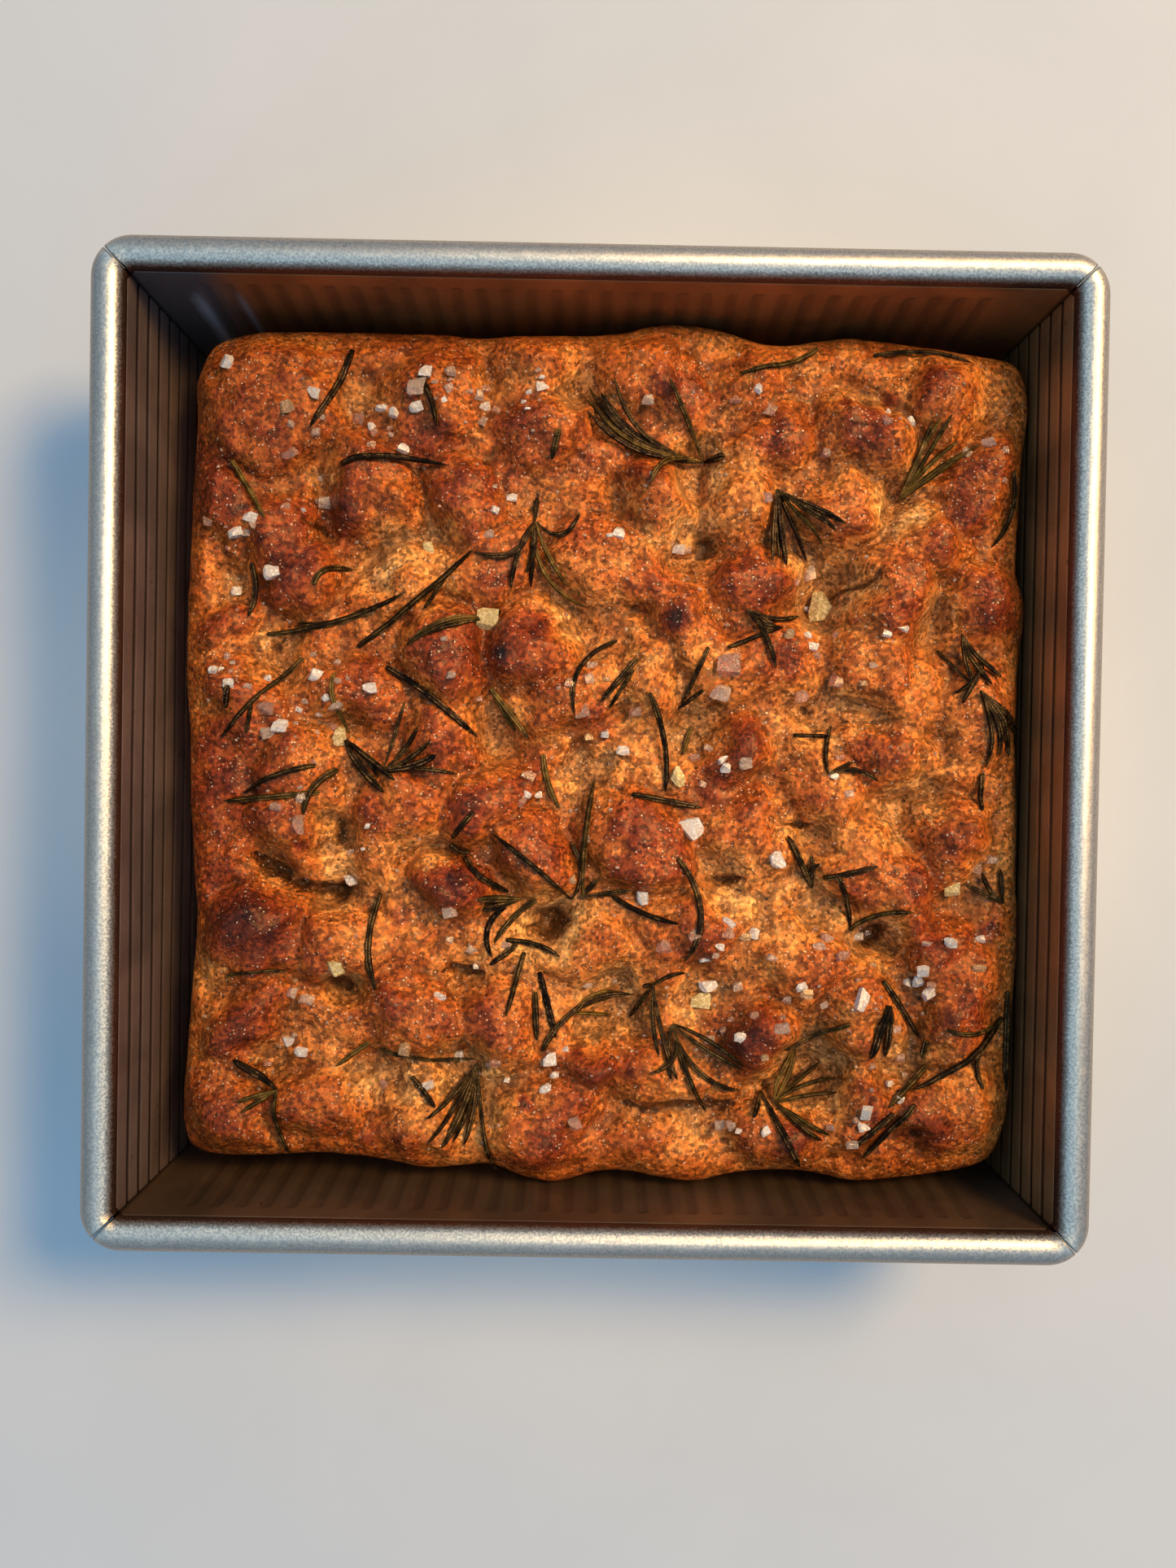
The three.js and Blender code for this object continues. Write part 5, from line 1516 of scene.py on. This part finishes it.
# %% Sprigs: where the needles join, then heading, length, bow, tone, girth of each
SPRIGS = [
    ((28, 78), 0.35, [(120, 21, 0), (142, 31, 6, 0.15), (149, 36, 6, 0.1), (153, 36, 6, 0.5),
        (161, 33, 5, 0.0), (150, 32, 5, 0.1, 1.2), (-146, 18, -4, 0.5), (-147, 17, -4, 0.4),
        (0, 5, 0, 0.0, 1.2)]),
    ((79, 68), 0.75, [(72, 20, 0, 0.6), (62, 23, 0), (46, 20, 1), (35, 24, 1, 0.6), (67, 21, 1),
        (36, 21, 0)]),
    ((46, 69), 0.12, [(-93, 19, 0), (-82, 20, 0, 0.0, 1.2), (-61, 20, 0, 0.0),
        (-47, 19, 0, 0.5, 0.8), (-36, 19, 0), (-28, 20, 0, 0.0), (-87, 18, 0)]),
    ((39, 38), 0.08, [(-1, 15, -2, 0.05, 0.9), (-32, 10, 0), (-64, 17, 1), (-25, 10, -2)]),
    ((-16, 60), 0.08, [(86, 7, 0), (-150, 18, 5), (14, 12, -5), (-108, 19, -1), (-98, 14, 1),
        (-57, 26, -5, 0.8, 0.8), (-62, 19, -1, 0.8, 0.8), (-93, 17, 0)]),
    ((-28, 35), 0.3, [(-158, 22, -1, 0.3), (-161, 21, 0, 0.2), (-159, 21, -2, 0.6, 0.8),
        (29, 4, 0, 0.0, 1.3)]),
    ((-65, 3), 0.05, [(-36, 18, 0, 0.05, 1.2), (-50, 18, -1, 0.05, 1.3), (-46, 14, 1)]),
    ((-54, -5), 0.12, [(52, 15, -1), (32, 15, -1), (17, 15, -1, 0.0, 1.2), (-2, 19, 1, 0.1, 0.8),
        (74, 19, 0, 0.15, 0.7)]),
    ((-5, -38), 0.08, [(140, 27, -1, 0.1, 1.0), (92, 15, -3, 0.1, 0.9)]),
    ((-2, -37), 0.12, [(85, 31, 1, 0.3, 1.1), (50, 6, 0), (9, 13, 0)]),
    ((-18, -38), 0.15, [(177, 11, 0, 0.3, 1.2), (-167, 10, 0, 0.1, 1.2), (-160, 10, 0)]),
    ((-80, -88), 0.15, [(147, 14, 0, 0.05, 1.3), (-83, 19, -1), (-165, 10, 0, 0.7),
        (-149, 10, 0, 0.7), (-96, 6, 0, 0.6)]),
    ((-29, -82), 0.12, [(-134, 18, 1), (-122, 23, 1), (-112, 22, 1, 0.2, 1.1), (-106, 20, 1),
        (-98, 21, 1), (-79, 30, -1, 0.1, 0.8)]),
    ((-4, -68), 0.8, [(14, 11, 1), (19, 13, 2), (-11, 10, 0), (37, 4, 0, 0.1)]),
    ((17, -60), 0.1, [(22, 9, 1), (-162, 3, 0), (-75, 25, -1), (-85, 18, -1), (-120, 12, 0)]),
    ((22, -70), 0.15, [(-118, 13, 4), (-68, 26, -1), (-28, 21, 1), (-30, 21, -1), (-43, 26, -4),
        (-91, 14, -1)]),
    ((49, -90), 0.6, [(65, 14, 1, 0.9), (62, 14, -1, 0.7), (19, 18, 1, 0.3), (9, 17, 0, 0.3),
        (-36, 15, 0, 0.3), (-28, 16, 0), (35, 16, 0, 0.4)]),
    ((46, -88), 0.1, [(-62, 21, 0, 0.05, 1.1), (-118, 6, 0)]),
    ((58, -34), 0.1, [(118, 16, 0, 0.1, 1.1), (94, 9, 0), (80, 7, 2)]),
    ((60, -4), 0.1, [(24, 8, 0, 0.1, 0.8), (-7, 14, 2), (80, 13, 1, 0.1, 0.8)]),
    ((108, -37), 0.15, [(155, 12, 0), (125, 10, 1), (95, 9, 0)]),
    ((95, 33), 0.1, [(-51, 15, -1), (-65, 15, -1), (-85, 13, 0)]),
    ((98, 18), 0.08, [(-79, 20, 1), (-58, 20, 1), (-68, 18, 1), (-37, 19, -1), (-31, 18, -1)]),
]
SPRIG_GIRTH = 0.88
SPRIG_STIFFNESS = 0.8
JOIN_RISE = 0.5
JOIN_REACH = 0.35
JOIN_FOOT = 0.45
MOST_ARCH = 0.9


def lay_sprig(place, base_tone, rows, random):
    bm = bmesh.new()
    leaves = [(*place, *filled(row, 3, (base_tone, SPRIG_GIRTH))) for row in rows]
    levels = [resting_level(leaf, SPRIG_STIFFNESS) for leaf in leaves]
    start = max(level[0] for level in levels) + JOIN_RISE
    for leaf, level in zip(leaves, levels):
        settle = np.clip(1 - STATIONS / JOIN_REACH, 0, 1) ** 1.5
        arch = random.uniform(0.0, MOST_ARCH) * np.sin(STATIONS * 2.4)
        add_leaf(bm, leaf, level + (start - level[0]) * settle + arch, random, foot=JOIN_FOOT)
    return bm


def lay_all_sprigs():
    random = np.random.default_rng(SEED + 2)
    count = 0
    for number, (place, base_tone, rows) in enumerate(SPRIGS, 1):
        label = f"{number:02d}"
        piece = make_piece("sprig_" + label, lay_sprig(place, base_tone, rows, random), [ROASTED])
        belong(piece, "rosemary", "rosemary_sprig_" + label)
        count += len(rows)
    return count


print(lay_all_sprigs(), "needles in", len(SPRIGS), "sprigs")

# %% [markdown]
# ## Salt
# Coarse sea salt breaks into blocky chips that are half clear: white where they are cracked inside,
# and tinted by the crust or by oil elsewhere. A cube is cut by a few seeded planes into sixteen
# different chips; each grain is a turned and scaled copy of one.

# %% Chips of salt
SALT_CHIPS = 16
CHIP_CUTS = 9
CUT_REACH = (0.33, 0.52)


def cut_chip(random):
    bm = bmesh.new()
    bmesh.ops.create_cube(bm, size=1)
    for _ in range(CHIP_CUTS):
        direction = Vector(random.normal(size=3)).normalized()
        reach = random.uniform(*CUT_REACH)
        cut = bmesh.ops.bisect_plane(bm, geom=bm.verts[:] + bm.edges[:] + bm.faces[:],
                                     plane_co=direction * reach, plane_no=direction, clear_outer=True)
        rim = [item for item in cut["geom_cut"] if isinstance(item, bmesh.types.BMEdge)]
        if rim:
            bmesh.ops.edgeloop_fill(bm, edges=rim)
    bmesh.ops.recalc_face_normals(bm, faces=bm.faces)
    return mesh_from("chip", bm)


chip_random = np.random.default_rng(SEED + 3)
CHIPS = [cut_chip(chip_random) for _ in range(SALT_CHIPS)]
print("faces of the chips:", [len(chip.polygons) for chip in CHIPS])

# %% [markdown]
# The coarsest crystals have a row each: where they lie, their length and width, and their kind.
# White ones are cracked inside, clear and pink ones let the crust show through, yellow and tan ones
# have soaked up oil. The rest of the salt fell in drifts, so it is drawn at random round the middle
# of each drift.

# %% Coarse crystals of each kind: x, y, length, width
WHITE, CLEAR, PINK, YELLOW, TAN = range(5)
COARSE_CRYSTALS = {
    WHITE: [(26, -18.5, 6, 6), (47.5, -26, 3.5, 4.5), (78, 34, 4, 3), (13.5, -36.5, 3, 5),
        (32, -60.5, 5.5, 3), (69.5, -61.5, 3, 6), (-80.5, 6, 4, 3.5), (-83.5, 45.5, 4, 4),
        (-95, 98.5, 3, 3.5), (-53, 87, 3, 3), (-50, 78, 3, 2.5), (-30, 89.5, 4, 3),
        (-57, 16, 3.5, 3), (-63.5, -34.5, 3.5, 3), (-75, -79, 3.5, 2.5), (86, -57.5, 3.5, 3),
        (88.5, -60.5, 4, 3.5), (43, -46, 3, 3), (35.5, -42.5, 4, 3), (-38.5, -63.5, 3.5, 2.5),
        (-42, -87.5, 4, 2.5), (71, -94.5, 3, 3), (71.5, -90.5, 2.5, 4)],
    CLEAR: [(-46.5, 92.5, 4, 5), (32.5, 16.5, 5, 4), (56.5, 49, 3, 4), (49, -69, 4, 3.5)],
    PINK: [(35, 24, 6.5, 6), (63, 20, 4, 4), (-79, 75.5, 5, 3.5), (-3, 11.5, 4, 4),
        (-75, -19, 3, 5), (44, 89.5, 3, 4), (64, 31.5, 3.5, 3.5), (54, 16, 3.5, 3.5),
        (19.5, -49.5, 4, 3.5), (-54, -88.5, 3, 4), (-3, -95, 3, 4), (-84, 10.5, 4, 3.5)],
    YELLOW: [(60, 41, 6, 8), (-28, 34.5, 5.5, 6), (-66.5, 2.5, 4, 7), (22, -5.5, 4, 5.5),
        (94.5, -33.5, 4, 4), (-65, -56, 5, 4), (30, -64.5, 5.5, 4), (-43.5, 53, 2.5, 4.5)],
    TAN: [(50, 31.5, 2.5, 3.5), (-47.5, -76.5, 3, 4)],
}
print(sum(map(len, COARSE_CRYSTALS.values())), "coarse crystals")

# %% Drifts of salt: x, y, reach, number of crystals
SALT_DRIFTS = [
    (-57, 86, 7, 14), (-40, 94, 6, 8), (-30, 91, 6, 6), (-75, 82, 7, 5), (-16, 92, 7, 6), (36, 95, 6, 2),
    (50, 84, 8, 2), (72, 85, 5, 3), (98, 78, 9, 4), (-70, 68, 7, 4), (-25, 69, 5, 2), (-89, 58, 7, 6),
    (-74, 63, 5, 3), (-28, 58, 8, 3), (3, 55, 4, 2), (22, 55, 4, 2), (-92, 38, 4, 1), (55, 48, 6, 3),
    (-93, 20, 5, 8), (-70, 22, 7, 6), (-80, 8, 6, 7), (-70, 12, 5, 4), (-32, 24, 7, 3), (0, 10, 9, 6),
    (56, 29, 4, 3), (77, 26, 8, 3), (-18, -8, 7, 5), (35, -5, 7, 6), (60, -6, 8, 3), (-78, -11, 7, 6),
    (-60, -30, 12, 3), (104, -27, 4, 3), (35, -48, 6, 6), (57, -46, 6, 7), (74, -47, 3, 2), (97, -50, 6, 4),
    (-76, -62, 5, 4), (-32, -52, 8, 4), (2, -59, 6, 2), (88, -58, 6, 7), (72, -62, 7, 5), (40, -68, 7, 10),
    (55, -63, 6, 3), (-76, -76, 6, 5), (-28, -80, 9, 6), (-10, -82, 6, 5), (78, -80, 7, 6), (42, -95, 6, 4),
    (68, -95, 5, 3), (3, 0, 75, 12),
]
CRYSTAL_LENGTHS = (1.4, 3.6)
KIND_SHARES = (0.30, 0.40, 0.24, 0.0, 0.06)
CRYSTAL_SLIMNESS = (0.65, 1.0)
CRYSTAL_GAP = 0.75
CRYSTAL_REACH = 0.95
DRIFT_SPREAD = 0.6


def has_room(x, y, length, crystals):
    """True when the place keeps its distance from every crystal laid so far."""
    return all(math.dist((x, y), other[:2]) > CRYSTAL_GAP * (length + other[2]) / 2 for other in crystals)


def drawn_crystals(random):
    """Coarse crystals first, then those of the drifts, each with some room of its own."""
    crystals = [(*row, kind) for kind, rows in COARSE_CRYSTALS.items() for row in rows]
    for drift_x, drift_y, reach, count in SALT_DRIFTS:
        for _ in range(count):
            x, y = random.normal((drift_x, drift_y), reach * DRIFT_SPREAD)
            length = random.uniform(*CRYSTAL_LENGTHS)
            width = length * random.uniform(*CRYSTAL_SLIMNESS)
            kind = random.choice(len(KIND_SHARES), p=KIND_SHARES)
            if has_room(x, y, length, crystals) and edge_share(x, y) < CRYSTAL_REACH:
                crystals.append((x, y, length, width, kind))
    return crystals


CRYSTALS = drawn_crystals(np.random.default_rng(SEED + 20))
print(len(CRYSTALS), "crystals")


# %% Laying salt on the crust
CRYSTAL_RISE = 0.35
CRYSTAL_HEIGHT = (0.5, 0.75)
TURN_SPREAD = 0.25
TILT_SPREAD = 0.3
DUST_GRAINS = 420
DUST_X = (-100, 108)
DUST_Y = (-104, 106)
DUST_SIZE = (0.4, 1.0)


def add_chip(bm, x, y, size, random):
    """Copies one chip into the bmesh, tilted, scaled to its size and half sunk in the crust."""
    before = len(bm.verts)
    bm.from_mesh(CHIPS[random.integers(SALT_CHIPS)])
    bm.verts.ensure_lookup_table()
    length, width, height = size
    turn = Matrix.Rotation(random.normal() * TURN_SPREAD, 3, "Z")
    for axis in "XY":
        turn = turn @ Matrix.Rotation(random.normal() * TILT_SPREAD, 3, axis)
    level = float(crust_height(np.array([x]), np.array([y]))[0][0])
    middle = Vector((x, y, level + height * CRYSTAL_RISE))
    for vert in bm.verts[before:]:
        scaled = Vector((vert.co.x * length, vert.co.y * width, vert.co.z * height))
        vert.co = (turn @ scaled + middle) * MM


def lay_crystals(kind):
    random = np.random.default_rng(SEED + 4 + kind)
    bm = bmesh.new()
    for x, y, length, width, its_kind in CRYSTALS:
        if its_kind == kind:
            height = min(length, width) * random.uniform(*CRYSTAL_HEIGHT)
            add_chip(bm, x, y, (length, width, height), random)
    return bm


def lay_dust():
    """Broken grains too small to place one by one."""
    random = np.random.default_rng(SEED + 12)
    bm = bmesh.new()
    for _ in range(DUST_GRAINS):
        x, y, size = (random.uniform(*limits) for limits in (DUST_X, DUST_Y, DUST_SIZE))
        add_chip(bm, x, y, (size, size * random.uniform(0.6, 1.0), size * 0.7), random)
    return bm


print(DUST_GRAINS, "grains of dust are laid beside the crystals")


# %% Salt finish
SALT_IOR = 1.54
SALT_TINT = (1.0, 0.78, 0.58, 1)


def salt_finish(name, cracked, glassy, transmission):
    """The two colours are those of cracked and of glassy places in the crystal."""
    material, tree, surface = new_material(name)
    where = millimetres(tree)
    cracks = cloud(tree, where, 0.8, detail=3.0)
    colour = blend_colours(tree, remap(tree, cracks, 0.4, 0.6), (*glassy, 1), (*cracked, 1))
    surface.inputs["IOR"].default_value = SALT_IOR
    surface.inputs["Transmission Weight"].default_value = transmission
    surface.inputs["Specular Tint"].default_value = SALT_TINT
    dress(tree, surface, colour, remap(tree, cracks, 0.3, 0.7, 0.08, 0.35),
          cloud(tree, where, 0.7), strength=0.6, depth=0.3)
    return material


SALT_KINDS = [
    ("salt_white", (1.0, 0.91, 0.79), (0.94, 0.72, 0.55), 0.30),
    ("salt_clear", (1.0, 0.78, 0.58), (0.92, 0.60, 0.40), 0.65),
    ("salt_pink", (1.0, 0.64, 0.44), (0.90, 0.46, 0.27), 0.70),
    ("salt_yellow", (0.92, 0.70, 0.34), (0.75, 0.50, 0.17), 0.30),
    ("salt_tan", (0.88, 0.56, 0.28), (0.70, 0.38, 0.15), 0.50),
]
for kind, (name, cracked, glassy, transmission) in enumerate(SALT_KINDS):
    finish = salt_finish(name, cracked, glassy, transmission)
    crystals = make_piece(name, lay_crystals(kind), [finish], smooth=False)
    belong(crystals, "salt")
dust = make_piece("salt_dust", lay_dust(), [bpy.data.materials["salt_clear"]], smooth=False)
belong(dust, "salt")

# %% [markdown]
# ## The table
# A plain pale plaster surface carries the tin. It is only the stage, not part of the object.


# %% Table
def plaster():
    material, tree, surface = new_material("pale_plaster")
    where = millimetres(tree)
    mottle = cloud(tree, where, 60.0, detail=3.0, warp=0.5)
    colour = blend_colours(tree, mottle, (0.74, 0.74, 0.73, 1), (0.82, 0.81, 0.79, 1))
    tree.links.new(colour, surface.inputs["Base Color"])
    surface.inputs["Roughness"].default_value = 0.75
    return material


table_mesh = bmesh.new()
bmesh.ops.create_grid(table_mesh, x_segments=2, y_segments=2, size=3.0)
table = make_piece("table", table_mesh, [plaster()])
